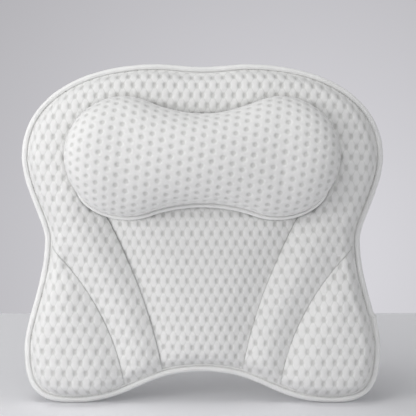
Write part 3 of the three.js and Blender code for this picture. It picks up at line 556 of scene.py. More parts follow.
def dimpled(cloth, pitch, row, pit, crease_depth, pit_depth):
    """Height of the mesh's puffs over its dimples and the creases between them, at flat cloth points."""
    s = cloth[..., 0] / pitch + cloth[..., 1] / (2 * row)
    t = cloth[..., 0] / pitch - cloth[..., 1] / (2 * row)
    near_s, near_t = s - np.round(s), t - np.round(t)
    puff = np.abs(np.sin(np.pi * s) * np.sin(np.pi * t)) ** PUFF_POWER
    across = pitch * (near_s + near_t) / 2 / pit[0]
    along = row * (near_s - near_t) / pit[1]
    hole = np.exp(-((across**2 + along**2) ** PIT_POWER))
    return crease_depth * (puff - PUFF_LEVEL) - pit_depth * hole


class Stand:
    """Stands drawn points up in the frame: its lean and place come from the cups' joints."""

    def __init__(self, size):
        axis = np.array(JOINTS["cup_top_right_swivel"]["axis"])
        self.across = np.array([1.0, 0.0, 0.0])
        self.out = -axis / np.linalg.norm(axis)
        self.up = np.cross(self.out, self.across)
        if self.up[2] < 0:
            self.up = -self.up
        cup = np.array(JOINTS["cup_top_right_swivel"]["pos_m"])
        self.origin = cup - self.across * size.cup_out_top - self.up * size.cup_level_top
        self.origin = self.origin + self.out * size.cup_standoff

    def place(self, points):
        """Points of the drawing in the frame."""
        x, level, depth = np.split(np.asarray(points), 3, -1)
        return self.origin + x * self.across + level * self.up + depth * self.out

    def flex(self, side):
        """Where a wing's cloth starts and ends its turn about its hinge, as two points in the frame."""
        hinge = JOINTS[f"wing_{side}_flex"]
        outward = np.cross(np.array(hinge["axis"]), self.out)
        outward /= np.linalg.norm(outward)
        if outward[0] * SIDES[side] < 0:
            outward = -outward
        return tuple(tuple(np.array(hinge["pos_m"]) + outward * far) for far in (FLEX_START, FLEX_END))


def new_piece(name, points, faces, material, cloth=None, sharp=60):
    """A closed, smooth-shaded object of points placed in the frame, with its flat cloth as a UV map."""
    mesh = bpy.data.meshes.new(name)
    mesh.from_pydata(np.asarray(points).tolist(), [], [list(map(int, face)) for face in faces])
    mesh.validate()
    if cloth is not None:
        corner = np.zeros(len(mesh.loops), dtype=int)
        mesh.loops.foreach_get("vertex_index", corner)
        mesh.uv_layers.new(name="cloth").data.foreach_set("uv", np.asarray(cloth)[corner].ravel())
    build = bmesh.new()
    build.from_mesh(mesh)
    bmesh.ops.remove_doubles(build, verts=build.verts, dist=WELD)
    bmesh.ops.recalc_face_normals(build, faces=build.faces)
    if build.calc_volume(signed=True) < 0:
        bmesh.ops.reverse_faces(build, faces=build.faces)
    build.to_mesh(mesh)
    build.free()
    mesh.shade_smooth()
    mesh.set_sharp_from_angle(angle=math.radians(sharp))
    mesh.materials.append(material)
    piece = bpy.data.objects.new(name, mesh)
    bpy.context.scene.collection.objects.link(piece)
    return piece


def quads_of(rows, columns):
    """The quads of a grid of points numbered row by row."""
    index = np.arange(rows * columns).reshape(rows, columns)
    return np.stack([index[:-1, :-1], index[:-1, 1:], index[1:, 1:], index[1:, :-1]], -1).reshape(-1, 4)


def edge_of(rows, columns):
    """The numbers of a grid's outermost points, in order round it."""
    index = np.arange(rows * columns).reshape(rows, columns)
    return np.concatenate([index[0, :-1], index[:-1, -1], index[-1, :0:-1], index[:0:-1, 0]])


def tube_of(rows, columns, closed=False):
    """The quads between rings of points numbered ring by ring, the last joined to the first where closed."""
    index = np.arange(rows * columns).reshape(rows, columns)
    ring = np.concatenate([index, index[:1]]) if closed else index
    turned = np.roll(ring, -1, 1)
    return np.stack([ring[:-1], turned[:-1], turned[1:], ring[1:]], -1).reshape(-1, 4)


def inflated(grid, cap):
    """The cloth of a pad, sewn down all round, swollen by its stuffing and held back where it goes far."""
    scene = bpy.context.scene
    rows, columns = grid.shape[:2]
    mesh = bpy.data.meshes.new("swelling")
    mesh.from_pydata(grid.reshape(-1, 3).tolist(), [], quads_of(rows, columns).tolist())
    if sum(face.normal.z * face.area for face in mesh.polygons) < 0:
        mesh.flip_normals()
    body = bpy.data.objects.new("swelling", mesh)
    scene.collection.objects.link(body)
    sewn = body.vertex_groups.new(name="sewn")
    sewn.add(edge_of(rows, columns).tolist(), 1.0, "REPLACE")
    cloth = body.modifiers.new("cloth", "CLOTH")
    for name, value in {
        "quality": 5, "mass": 0.02, "tension_stiffness": 12, "compression_stiffness": 12,
        "shear_stiffness": 4, "bending_stiffness": 0.4, "use_pressure": True,
        "uniform_pressure_force": PRESSURE, "shrink_min": -CLOTH_GIVE, "vertex_group_mass": "sewn",
    }.items():
        setattr(cloth.settings, name, value)
    cloth.settings.effector_weights.gravity = 0
    cloth.collision_settings.use_collision = False
    cloth.collision_settings.use_self_collision = False
    for number in range(1, CLOTH_STEPS + 1):
        scene.frame_set(number)
    shaped = body.evaluated_get(bpy.context.evaluated_depsgraph_get())
    moved = np.zeros(rows * columns * 3)
    shaped.data.vertices.foreach_get("co", moved)
    step = moved.reshape(grid.shape) - grid
    for _ in range(SMOOTHING_ROUNDS):
        step[1:-1, 1:-1] = (step[:-2, 1:-1] + step[2:, 1:-1] + step[1:-1, :-2] + step[1:-1, 2:]) / 4
    far = np.linalg.norm(step, axis=-1, keepdims=True)
    scene.frame_set(1)
    bpy.data.objects.remove(body)
    bpy.data.meshes.remove(mesh)
    return grid + step * (cap * np.tanh(far / cap) / np.maximum(far, 1e-12))


def sewn_pad(name, grid, cloth, relief, floor, stand, material):
    """A closed pad: its dimpled face, walls down to its floor all round, and the floor."""
    rows, columns = grid.shape[:2]
    face = (grid + face_normals(grid) * relief[..., None]).reshape(-1, 3)
    ring = edge_of(rows, columns)
    under = face[ring].copy()
    under[:, 2] = floor
    low = rows * columns + np.arange(len(ring))
    walls = np.stack([ring, np.roll(ring, -1), np.roll(low, -1), low], -1)
    build = bmesh.new()
    verts = [build.verts.new(point) for point in under]
    edges = [build.edges.new((verts[i - 1], verts[i])) for i in range(len(verts))]
    build.verts.index_update()
    filled = bmesh.ops.triangle_fill(build, use_beauty=True, edges=edges)["geom"]
    bottom = [[low[v.index] for v in f.verts] for f in filled if isinstance(f, bmesh.types.BMFace)]
    build.free()
    faces = [*quads_of(rows, columns), *walls, *bottom]
    points = stand.place(np.concatenate([face, under]))
    flat = cloth.reshape(-1, 2)
    return new_piece(name, points, faces, material, np.concatenate([flat, flat[ring]]), 75)


def quilted_pad(name, plan, crown, stretch, factors, drawing, stand, material):
    """One pad of the front: its flat grid raised, swollen, made finer and given the mesh's dimples."""
    size = drawing.size
    depth, edge = drawing.pad_face(plan, crown)
    grid = inflated(np.concatenate([plan, depth[..., None]], -1), PAD_SWELL)
    cloth = unrolled(grid * (1, 1, FLAT_RISE)) / stretch
    fine = refine(np.concatenate([grid, cloth, edge[..., None]], -1), factors)
    grid, cloth, edge = fine[..., :3], fine[..., 3:5], fine[..., 5]
    pitch, row = size.dimple_pitch, size.dimple_row
    relief = dimpled(cloth, pitch, row, PAD_PIT, size.crease_depth, size.dimple_depth)
    relief = relief * smooth_step(*PAD_FADE, edge)
    return sewn_pad(name, grid, cloth, relief, size.floor, stand, material)


def pad_edge_lines(drawing):
    """The right-hand lines that the pads are cut to: the rim, and the seams as far as the tape holds them."""
    inset = drawing.size.tape_width - UNDER_TAPE
    lines = {"held": drawing.rim + inward(drawing.rim) * inset}
    for name, seam in (("outer", drawing.outer_seam), ("inner", drawing.inner_seam)):
        inside = np.flatnonzero(distance(seam, drawing.rim) >= inset)
        lines[name] = seam[inside[0] : inside[-1] + 1]
    return lines


def arch_plan(drawing):
    """The arch pad's grid: up one leg, over the roll and down the other leg."""
    lines = pad_edge_lines(drawing)
    inner_leg = lines["inner"] + inward(lines["inner"]) * SEAM_GAP
    outer_leg = lines["outer"] - inward(lines["outer"]) * SEAM_GAP
    top_middle = np.array([0.0, lines["held"][0, 1]])
    rim = cut_between(lines["held"], top_middle, lines["outer"][-1])[::-1]
    whole = drawing.roll_outline(ROLL_CUT)
    half = whole[np.argmin(np.hypot(*(whole - drawing.inner_seam[-1]).T)) : len(whole) // 2]
    half = np.concatenate([half, [[0.0, drawing.size.roll_level + drawing.size.roll_waist / 2]]])
    leg_rows, upper_rows = (np.linspace(0, 1, count) for count in (ARCH_LEG_POINTS, ARCH_TOP_POINTS))
    shares = eased(ARCH_COLUMNS)
    leg = between(spaced(inner_leg, leg_rows), spaced(outer_leg, leg_rows), shares)
    upper = between(spaced(half, upper_rows), spaced(rim, upper_rows), shares)
    right = np.concatenate([leg, upper[1:]])
    return np.concatenate([right, right[-2::-1] * MIRROR])


def centre_plan(drawing):
    """The centre pad's grid, between the inner seams, the roll and the notch."""
    lines = pad_edge_lines(drawing)
    right = spaced(lines["inner"] - inward(lines["inner"]) * SEAM_GAP, eased(CENTRE_ROWS))
    left = right * MIRROR
    foot = cut_between(lines["held"], lines["inner"][0], np.array([0.0, lines["held"][-1, 1]]))
    foot = np.concatenate([foot[:-1] * MIRROR, foot[::-1]])
    whole = drawing.roll_outline(ROLL_CUT)
    end = np.argmin(np.hypot(*(whole - drawing.inner_seam[-1]).T))
    top = np.concatenate([whole[end:0:-1] * MIRROR, whole[: end + 1]])
    foot, top = (spaced(line, eased(CENTRE_COLUMNS)) for line in (foot, top))
    foot[0], foot[-1], top[0], top[-1] = left[0], right[0], left[-1], right[-1]
    return patch(foot, top, left, right)


def wing_plan(drawing):
    """The right wing pad's grid, between the outer seam and the rim."""
    lines = pad_edge_lines(drawing)
    seam = lines["outer"] + inward(lines["outer"]) * SEAM_GAP
    rim = cut_between(lines["held"], lines["outer"][-1], lines["outer"][0])[::-1]
    rows = eased(WING_ROWS)
    return between(spaced(seam, rows), spaced(rim, rows), eased(WING_COLUMNS))


def roll_tables(drawing):
    """The roll cut across at places along its spine: how far out and how deep its cloth is, by its length."""
    size = drawing.size
    places = np.linspace(0, size.roll_spread / 2, ROLL_STATIONS)
    widest = drawing.roll_half_height(places, size.roll_overhang)
    crests = size.roll_lobe_depth - size.roll_waist_depth
    crests = size.roll_waist_depth + crests * (places / places[-1]) ** 2
    turn = np.linspace(0, np.pi / 2, QUARTER_POINTS)
    tuck = size.roll_overhang + ROLL_TUCK
    foot = size.roll_bed + 2 * SEAM_GAP
    reach, depths, lengths = [], [], []
    for radius, crest in zip(widest, crests):
        high = (crest - size.roll_equator) * np.sqrt(1 - np.sin(turn) ** ROLL_FULLNESS)
        dome = np.stack([radius * np.sin(turn), size.roll_equator + high], -1)
        drop = (size.roll_equator - foot) * np.sin(turn)
        side = np.stack([radius - tuck * (1 - np.cos(turn)), size.roll_equator - drop], -1)
        profile = np.concatenate([dome, side[1:]])
        even = spaced(profile, np.linspace(0, 1, PROFILE_POINTS))
        reach.append(even[:, 0])
        depths.append(even[:, 1])
        lengths.append(run_length(profile)[-1])
    return places, np.array(reach), np.array(depths), np.array(lengths)


def roll_grid(drawing):
    """The neck roll's grid in the drawing, the cloth it was cut from, and the distance to its edge."""
    size = drawing.size
    places, reach, depths, lengths = roll_tables(drawing)
    spread, cap = places[-1], lengths[-1]
    corner = np.pi / 4

    def end_arc(start, end, count):
        """Part of the round end of the flat cloth."""
        turn = np.linspace(start, end, count)
        return np.stack([spread + cap * np.cos(turn), cap * np.sin(turn)], -1)

    right = spaced(end_arc(-corner, corner, 60), np.linspace(0, 1, ROLL_ROW_POINTS))
    back = np.stack([places[-2::-1], lengths[-2::-1]], -1)
    half = np.concatenate([end_arc(corner, np.pi / 2, 40), back])
    top = spaced(np.concatenate([half[:-1] * MIRROR, half[::-1]]), np.linspace(0, 1, ROLL_COLUMN_POINTS))
    flat = patch(top * (1, -1), top, right * MIRROR, right)
    spine = np.clip(flat[..., 0], -spread, spread)
    offset = np.stack([flat[..., 0] - spine, flat[..., 1]], -1)
    far = np.linalg.norm(offset, axis=-1)
    heading = offset / np.maximum(far, 1e-9)[..., None]
    column = np.abs(spine) / spread * (len(places) - 1)
    whole = np.interp(np.abs(spine), places, lengths)
    row = np.clip(far / whole, 0, 1) * (reach.shape[1] - 1)
    i, j = np.minimum(column.astype(int), len(places) - 2), np.minimum(row.astype(int), reach.shape[1] - 2)
    p, q = column - i, row - j
    out, depth = (
        table[i, j] * (1 - p) * (1 - q) + table[i + 1, j] * p * (1 - q)
        + table[i, j + 1] * (1 - p) * q + table[i + 1, j + 1] * p * q
        for table in (reach, depths)
    )
    # Towards its two ends the roll's face is flatter and its edge is tighter.
    ends = ROLL_END_FLATNESS * heading[..., 0] ** 2
    share = np.clip(out / drawing.roll_half_height(spread, size.roll_overhang), 0, 1)
    dome = (1 - share ** (ROLL_FULLNESS + ends)) ** (1 / (2 + ends))
    dome = size.roll_equator + (size.roll_lobe_depth - size.roll_equator) * dome
    depth = np.where((ends > 0) & (depth > size.roll_equator), dome, depth)
    plan = np.stack([spine + heading[..., 0] * out, heading[..., 1] * out + size.roll_level], -1)
    plan[..., 1] -= drawing.sag(spine)
    drawn = np.stack([(flat[..., 0] + plan[..., 0]) / 2, flat[..., 1]], -1)
    cos, sin = math.cos(ROLL_GRAIN), math.sin(ROLL_GRAIN)
    cut = drawn @ np.array([[cos, sin], [-sin, cos]])
    return np.concatenate([plan, depth[..., None]], -1), cut, whole - far


def add_node(tree, kind, inputs=(), out=0, **settings):
    """Adds a node with its settings and gives one of its outputs; an input that is an output is linked."""
    node = tree.nodes.new(kind)
    for key, value in settings.items():
        setattr(node, key, value)
    for key, value in dict(inputs).items():
        if isinstance(value, bpy.types.NodeSocket):
            tree.links.new(value, node.inputs[key])
        else:
            node.inputs[key].default_value = value
    return node.outputs[out]


def new_material(name, finish):
    """A material, its node tree and its surface shader, with the values that are the same all over."""
    material = bpy.data.materials.new(name)
    material.use_nodes = True
    shader = material.node_tree.nodes["Principled BSDF"]
    for socket, value in finish.items():
        shader.inputs[socket].default_value = value
    return material, material.node_tree, shader


def darker(colour, share):
    """A linear colour times a share."""
    return [channel * share for channel in colour[:3]] + [1]


def air_mesh(name, colours, pitch, row, pit, turned, creased, front):
    """Polyester spacer mesh: soft white knit; its dimples coloured greyer, partly the spacer yarn seen in
    them and partly painted shade of their hollows; its creases coloured with painted shade.
    """
    material, tree, shader = new_material(
        name, {"Roughness": 0.82, "Specular IOR Level": 0.25, "Sheen Weight": 0.12, "Sheen Roughness": 0.5}
    )
    vector = "ShaderNodeVectorMath"
    cloth = add_node(tree, "ShaderNodeUVMap", uv_map="cloth")
    first, second = (1 / pitch, 1 / (2 * row), 0), (1 / pitch, -1 / (2 * row), 0)
    if turned:
        first, second = (1 / (2 * row), 1 / pitch, 0), (-1 / (2 * row), 1 / pitch, 0)
    s = add_node(tree, vector, {0: cloth, 1: first}, "Value", operation="DOT_PRODUCT")
    t = add_node(tree, vector, {0: cloth, 1: second}, "Value", operation="DOT_PRODUCT")
    lattice = add_node(tree, "ShaderNodeCombineXYZ", {0: s, 1: t, 2: 0.5})
    shifted = add_node(tree, vector, {0: lattice, 1: (0.5, 0.5, 0)}, operation="ADD")
    inside = add_node(tree, vector, {0: shifted}, operation="FRACTION")
    near = add_node(tree, vector, {0: inside, 1: (0.5, 0.5, 0.5)}, operation="SUBTRACT")
    wide, tall = pitch / 2 / pit[0], row / pit[1]
    across = add_node(tree, vector, {0: near, 1: (wide, wide, 0)}, "Value", operation="DOT_PRODUCT")
    along = add_node(tree, vector, {0: near, 1: (tall, -tall, 0)}, "Value", operation="DOT_PRODUCT")
    place = add_node(tree, "ShaderNodeCombineXYZ", {0: across, 1: along})
    radius = add_node(tree, vector, {0: place}, "Value", operation="LENGTH")
    # Where the mesh is drawn round an edge its dimples are pulled flat.
    normal = add_node(tree, "ShaderNodeNewGeometry", out="Normal")
    facing = add_node(tree, vector, {0: normal, 1: front}, "Value", operation="DOT_PRODUCT")
    facing = add_node(tree, "ShaderNodeMath", {0: facing}, operation="ABSOLUTE")
    open_mesh = add_node(tree, "ShaderNodeMapRange", {0: facing, 1: 0.1, 2: 0.5})
    edge = {0: radius, 1: 0.45, 2: 1.3, 3: open_mesh, 4: 0.0}
    hole = add_node(tree, "ShaderNodeMapRange", edge, interpolation_type="SMOOTHSTEP")
    size = add_node(tree, vector, {0: near}, operation="ABSOLUTE")
    parts = add_node(tree, "ShaderNodeSeparateXYZ", {0: size}).node.outputs
    least = add_node(tree, "ShaderNodeMath", {0: parts[0], 1: parts[1]}, operation="MINIMUM")
    edge = {0: least, 1: 0.0, 2: 0.06, 3: creased, 4: 0.0}
    crease = add_node(tree, "ShaderNodeMapRange", edge, interpolation_type="SMOOTHSTEP")
    # The knit's loops are about 0.7 mm apart, drawn at 1.4 mm so that they don't fall below a pixel.
    loops = {"Vector": cloth, "Scale": 1 / (1.4 * MM)}
    knit = add_node(tree, "ShaderNodeTexVoronoi", loops, "Distance", feature="SMOOTH_F1")
    # Yarn takes up dye and light a little unevenly, in about 18 patches to a metre.
    drift = add_node(tree, "ShaderNodeTexNoise", {"Vector": cloth, "Scale": 18.0, "Detail": 3.0})
    dyed = {0: drift, 6: darker(colours.cloth, 0.955), 7: list(colours.cloth)}
    dyed = add_node(tree, "ShaderNodeMix", dyed, 2, data_type="RGBA")
    # Painted shade: creases and dimples are coloured darker where shade falls in them; in the dimples this
    # lies over the greyer yarn seen there.
    for mark, shade in ((crease, colours.crease), (hole, colours.dimple)):
        dyed = add_node(tree, "ShaderNodeMix", {0: mark, 6: dyed, 7: list(shade)}, 2, data_type="RGBA")
    tree.links.new(dyed, shader.inputs["Base Color"])
    # In millimetres: the knit's loops, a dimple's edge and a crease's stitch, finer than the modelled puffs.
    height = add_node(tree, "ShaderNodeMath", {0: knit, 1: 0.22}, operation="MULTIPLY")
    for mark, rise in ((hole, -0.35), (crease, -0.3)):
        height = add_node(tree, "ShaderNodeMath", {0: mark, 1: rise, 2: height}, operation="MULTIPLY_ADD")
    bump = add_node(tree, "ShaderNodeBump", {"Strength": 0.8, "Distance": MM, "Height": height})
    tree.links.new(bump, shader.inputs["Normal"])
    return material


def woven_tape(name, colours):
    """Woven polyester tape: faint ribs across its width, a little brighter and smoother than the mesh."""
    material, tree, shader = new_material(name, {"Roughness": 0.7, "Sheen Weight": 0.1})
    cloth = add_node(tree, "ShaderNodeUVMap", uv_map="cloth")
    # The weave gathers into ribs about 7.5 mm apart. The wave node makes twenty radians of each unit, so a
    # radian is 1.2 mm.
    weave = {"Vector": cloth, "Scale": 1 / (1.2 * MM) / 20, "Distortion": 0.6, "Detail": 1.0}
    ribs = add_node(tree, "ShaderNodeTexWave", weave, 1, bands_direction="X")
    # Its dye drifts in 60 patches to a metre.
    drift = add_node(tree, "ShaderNodeTexNoise", {"Vector": cloth, "Scale": 60.0, "Detail": 3.0})
    dyed = {0: drift, 6: darker(colours.tape, 0.93), 7: list(colours.tape)}
    dyed = add_node(tree, "ShaderNodeMix", dyed, 2, data_type="RGBA")
    tree.links.new(dyed, shader.inputs["Base Color"])
    bump = add_node(tree, "ShaderNodeBump", {"Strength": 0.3, "Distance": 0.2 * MM, "Height": ribs})
    tree.links.new(bump, shader.inputs["Normal"])
    return material


def spun_thread(colours):
    """Spun polyester thread: a bright, slightly shiny twist."""
    material, tree, shader = new_material("sewing thread", {"Roughness": 0.5})
    place = add_node(tree, "ShaderNodeTexCoord", out="Object")
    # One turn of the twist is about 0.8 mm.
    twist = add_node(tree, "ShaderNodeTexNoise", {"Vector": place, "Scale": 1 / (0.8 * MM), "Detail": 1.0})
    dyed = {0: twist, 6: darker(colours.thread, 0.9), 7: list(colours.thread)}
    dyed = add_node(tree, "ShaderNodeMix", dyed, 2, data_type="RGBA")
    tree.links.new(dyed, shader.inputs["Base Color"])
    return material


def clear_vinyl(colours):
    """Clear soft vinyl: glassy, slightly cool, with faint flow marks from the mould."""
    material, tree, shader = new_material(
        "clear soft vinyl", {"Base Color": list(colours.vinyl), "Transmission Weight": 0.88, "IOR": 1.53}
    )
    place = add_node(tree, "ShaderNodeTexCoord", out="Object")
    # There are 90 flow marks to a metre, so a cup has five or six of them across it.
    marks = {"Vector": place, "Scale": 90.0, "Detail": 2.0, "Distortion": 0.8}
    flow = add_node(tree, "ShaderNodeTexNoise", marks)
    rough = add_node(tree, "ShaderNodeMapRange", {0: flow, 3: 0.05, 4: 0.16})
    tree.links.new(rough, shader.inputs["Roughness"])
    bump = add_node(tree, "ShaderNodeBump", {"Strength": 0.08, "Distance": 0.3 * MM, "Height": flow})
    tree.links.new(bump, shader.inputs["Normal"])
    return material


def moulded_plastic(colours):
    """Moulded white plastic: satin, with the fine spark texture of its mould, about 1 mm to a grain."""
    material, tree, shader = new_material("moulded white plastic", {"Base Color": list(colours.plastic)})
    place = add_node(tree, "ShaderNodeTexCoord", out="Object")
    spark = add_node(tree, "ShaderNodeTexNoise", {"Vector": place, "Scale": 1 / (1.0 * MM), "Detail": 2.0})
    rough = add_node(tree, "ShaderNodeMapRange", {0: spark, 3: 0.34, 4: 0.5})
    tree.links.new(rough, shader.inputs["Roughness"])
    bump = add_node(tree, "ShaderNodeBump", {"Strength": 0.12, "Distance": 0.1 * MM, "Height": spark})
    tree.links.new(bump, shader.inputs["Normal"])
    return material


def tape_section(width, bead):
    """The bound edge cut across, as (inset, depth) points round it: bead, groove and flat strip."""
    wide, round_end = width / MM, bead / MM
    front = [
        (wide, 5.0), (wide, 5.9), (wide - 0.4, 6.4), (round_end + 0.9, 6.4), (round_end + 0.5, 4.9),
        (round_end - 0.1, 4.8), (round_end - 0.4, 7.0), (round_end - 1.2, 8.0), (round_end / 2, 8.4),
        (1.5, 7.1), (0.7, 5.8), (0.15, 3.9), (0.0, 2.4),
    ]
    back = [
        (0.3, 0.9), (0.9, -0.5), (1.9, -1.4), (round_end / 2, -1.95), (round_end / 2 + 1.6, -1.8),
        (round_end - 0.5, -1.3), (round_end + 0.25, -0.9), (round_end + 0.9, -1.35), (wide - 0.5, -1.4),
        (wide, -1.1), (wide, -0.3), (5.6, -0.2), (5.2, 2.5), (5.6, 5.1),
    ]
    return np.array(front + back) * MM


def bound_edge(name, line, normals, start, drawing, stand, material):
    """Binding tape swept along part of the rim, puckered by its stitches, thicker where its ends overlap."""
    size = drawing.size
    section = tape_section(size.tape_width, size.tape_round)
    along = run_length(line) + start
    turns = along * 2 * np.pi
    pucker = sum(0.5 * np.sin(turns / wave + lag) for wave, lag in PUCKERS)[:, None]
    stitched = np.cos(turns / size.stitch_pitch)[:, None]
    inset, depth = (np.repeat(section[None, :, k], len(line), 0) for k in (0, 1))
    bead = inset < size.tape_round
    swell = 1 + bead * (PUCKER_SWELL * pucker + STITCH_SWELL * stitched)
    depth = TAPE_MIDDLE + (depth - TAPE_MIDDLE) * swell
    inset = inset + bead * PUCKER_SHIFT * pucker * (inset < PUCKER_REACH)
    spot = np.argmin(np.hypot(*(line - (size.lobe_width / 2, size.tape_join)).T))
    past = (along - along[spot]) * (0 < spot < len(line) - 1) * np.sign(line[spot, 0])
    lapped = np.where(past > 0, np.exp(-past / LAP_FADE), 0)[:, None]
    folded = np.exp(-((past / FOLD_REACH) ** 2))[:, None] * (lapped.max() > 0)
    depth = TAPE_MIDDLE + (depth - TAPE_MIDDLE) * (1 + LAP_SWELL * lapped + FOLD_SWELL * folded)
    inset = inset - bead * (LAP_SHIFT * lapped + FOLD_SHIFT * folded)
    plan = line[:, None] + normals[:, None] * inset[..., None]
    points = np.concatenate([plan, depth[..., None]], -1).reshape(-1, 3)
    rows, columns = len(line), len(section)
    caps = np.arange(rows * columns).reshape(rows, columns)[[0, -1]]
    round_section = run_length(np.concatenate([section, section[:1]]))[:-1]
    cloth = np.stack(np.broadcast_arrays(along[:, None], round_section[None]), -1).reshape(-1, 2)
    return new_piece(name, stand.place(points), [*tube_of(rows, columns), *caps], material, cloth, 50)


def stitch_row(line, depth, pitch):
    """Points and faces of a row of thread stitches along a line at a depth, each a small tapered bar."""
    along = run_length(line)
    heading = np.gradient(line, axis=0)
    heading /= np.linalg.norm(heading, axis=1, keepdims=True)
    turn = np.arange(STITCH_SIDES) * 2 * np.pi / STITCH_SIDES
    points = []
    for middle in np.arange(pitch / 2, along[-1], pitch):
        place = np.array([np.interp(middle, along, line[:, k]) for k in (0, 1)])
        ahead = np.array([np.interp(middle, along, heading[:, k]) for k in (0, 1)])
        aside = np.array([ahead[1], -ahead[0]])
        for station, thick in zip(STITCH_STATIONS, STITCH_RADII):
            ring = place + ahead * station + np.cos(turn)[:, None] * thick * aside
            points.append(np.concatenate([ring, (depth + np.sin(turn) * thick)[:, None]], 1))
    points = np.concatenate(points)
    each = len(STITCH_STATIONS) * STITCH_SIDES
    ends = range(STITCH_SIDES), range(each - STITCH_SIDES, each)
    bar = [*tube_of(len(STITCH_STATIONS), STITCH_SIDES), *ends]
    return points, [[start + k for k in face] for start in range(0, len(points), each) for face in bar]


def stitches(name, rows, stand, material):
    """Several rows of stitches as one piece."""
    points, faces = [], []
    for row_points, row_faces in rows:
        start = sum(map(len, points))
        points.append(row_points)
        faces += [[start + k for k in face] for face in row_faces]
    return new_piece(name, stand.place(np.concatenate(points)), faces, material)


def roll_lip(drawing, stand, material):
    """The sewn lip of the roll: a narrow strip that lies on the pads and shows below the roll."""
    line = drawing.roll_outline(ROLL_SEWN)
    outward = inward(np.concatenate([line[-2:-1], line, line[1:2]]))[1:-1]
    low = smooth_step(*LIP_SHOWS, -outward[:, 1])[:, None]
    offset = (LIP_HIDDEN + low * (LIP_PLACES - LIP_HIDDEN)) * MM
    plan = line[:, None] + outward[:, None] * offset[..., None]
    plan[..., 1] -= drawing.sag(plan[..., 0])
    starts = stand.place(np.concatenate([plan, np.full((*plan.shape[:2], 1), LIP_RAY_START)], -1))
    rest = np.full(plan.shape[:2], drawing.size.roll_bed)
    down = Vector(-stand.out)
    for name in ("pad_arch", "pad_centre"):
        pad = bpy.data.objects[name]
        for place in np.ndindex(rest.shape):
            hit, spot, _, _ = pad.ray_cast(Vector(starts[place]), down)
            if hit:
                rest[place] = max(rest[place], (np.array(spot) - stand.origin) @ stand.out)
    rest[:] = rest.max(1, keepdims=True)
    # Along its length the lip bends gently: no place lies lower than the mean of the seven round it.
    for _ in range(3):
        ends = np.concatenate([rest[-4:-1], rest, rest[1:4]])
        rest = np.maximum(rest, np.mean([ends[k : k + len(rest)] for k in range(7)], 0))
    lift = (LIP_GAP + low * LIP_LIFTS) * MM
    shares = np.linspace(0, 1, len(LIP_LIFTS))
    thick = LIP_THICKNESS * np.sqrt(np.clip(1 - shares**8, 0.02, 1))
    points = np.concatenate([
        np.concatenate([plan, (rest + lift + thick)[..., None]], -1)[:-1],
        np.concatenate([plan, (rest + lift)[..., None]], -1)[:-1, ::-1],
    ], 1)
    faces = tube_of(*points.shape[:2], closed=True)
    along = run_length(line)[:-1, None]
    across = np.concatenate([shares, shares[::-1]])[None] * LIP_CLOTH
    cloth = np.stack(np.broadcast_arrays(along, across), -1).reshape(-1, 2)
    lip = new_piece("neck_roll_lip", stand.place(points.reshape(-1, 3)), faces, material, cloth, 60)
    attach(lip, "pillow")


def inside_of(points, line):
    """Whether each plan point lies inside a closed line."""
    x, y = points[..., 0], points[..., 1]
    inside = np.zeros(x.shape, bool)
    for a, b in zip(line, np.roll(line, -1, 0)):
        crossing = (a[1] > y) != (b[1] > y)
        if a[1] != b[1]:
            inside ^= crossing & (x < a[0] + (y - a[1]) * (b[0] - a[0]) / (b[1] - a[1]))
    return inside


def back_cloth(name, outline, holes, drawing, stand, material, cups):
    """A back panel: a thin slab of mesh cut to its outline, dimpled behind, drawn in along the seams."""
    size = drawing.size
    low, high = outline.min(0) - PANEL_STEP, outline.max(0) + PANEL_STEP
    plan = np.stack(np.meshgrid(*(np.arange(low[k], high[k], PANEL_STEP) for k in (0, 1))), -1)
    kept = inside_of(plan, outline)
    for hole in holes:
        kept &= ~inside_of(plan, hole)
    cell = kept[:-1, :-1] & kept[:-1, 1:] & kept[1:, 1:] & kept[1:, :-1]
    quads = quads_of(*kept.shape)[cell.ravel()]
    used, quads = np.unique(quads, return_inverse=True)
    quads = quads.reshape(-1, 4)
    plan = plan.reshape(-1, 2)[used]
    sides = np.concatenate([quads[:, [k, (k + 1) % 4]] for k in range(4)])
    _, back_index, count = np.unique(np.sort(sides, 1), axis=0, return_index=True, return_counts=True)
    border = sides[back_index[count == 1]]
    # The grid's outermost points move to the line that the cloth is cut along, or to the nearest hole.
    rim = np.unique(border)
    lines = [np.concatenate([line, line[:1]]) for line in (outline, *holes)]
    far, spots = map(np.stack, zip(*(nearest_on(plan[rim], line) for line in lines)))
    plan[rim] = spots[far.argmin(0), np.arange(len(rim))]
    edge = distance(plan, drawing.closed_rim) - size.tape_width
    for seam in drawing.seams():
        edge = np.minimum(edge, distance(plan, seam))
    for cup in cups:
        edge = np.minimum(edge, np.hypot(*(plan - cup).T) - EYELET_GRIP)
    edge = np.maximum(edge, 0)
    bulge = PANEL_SWELL * np.sin(np.pi / 2 * np.clip(edge / PANEL_ROUNDING, 0, 1))
    relief = dimpled(plan, size.dimple_pitch, size.dimple_row, BACK_PIT, BACK_CREASE, BACK_DEPTH)
    relief = relief * smooth_step(*BACK_FADE, edge)
    behind = np.concatenate([plan, -(bulge + relief)[:, None]], 1)
    before = np.concatenate([plan, np.full((len(plan), 1), PANEL_FRONT)], 1)
    shift = len(plan)
    walls = np.concatenate([border, border[:, ::-1] + shift], 1)
    faces = np.concatenate([quads, quads + shift, walls])
    points = stand.place(np.concatenate([behind, before]))
    piece = new_piece(name, points, faces, material, np.concatenate([plan, plan]), 60)
    return piece


def turned_shape(profile, closed, middle, segments=64):
    """Points and faces of a profile of (radius, depth) turned about an axis through a plan point."""
    turn = np.arange(segments) * 2 * np.pi / segments
    ring = np.stack([np.cos(turn), np.sin(turn)], -1)
    plan = middle + profile[:, None, :1] * ring[None]
    depth = np.repeat(profile[:, 1:2], segments, 1)
    points = np.concatenate([plan, depth[..., None]], -1).reshape(-1, 3)
    return points, tube_of(len(profile), segments, closed)


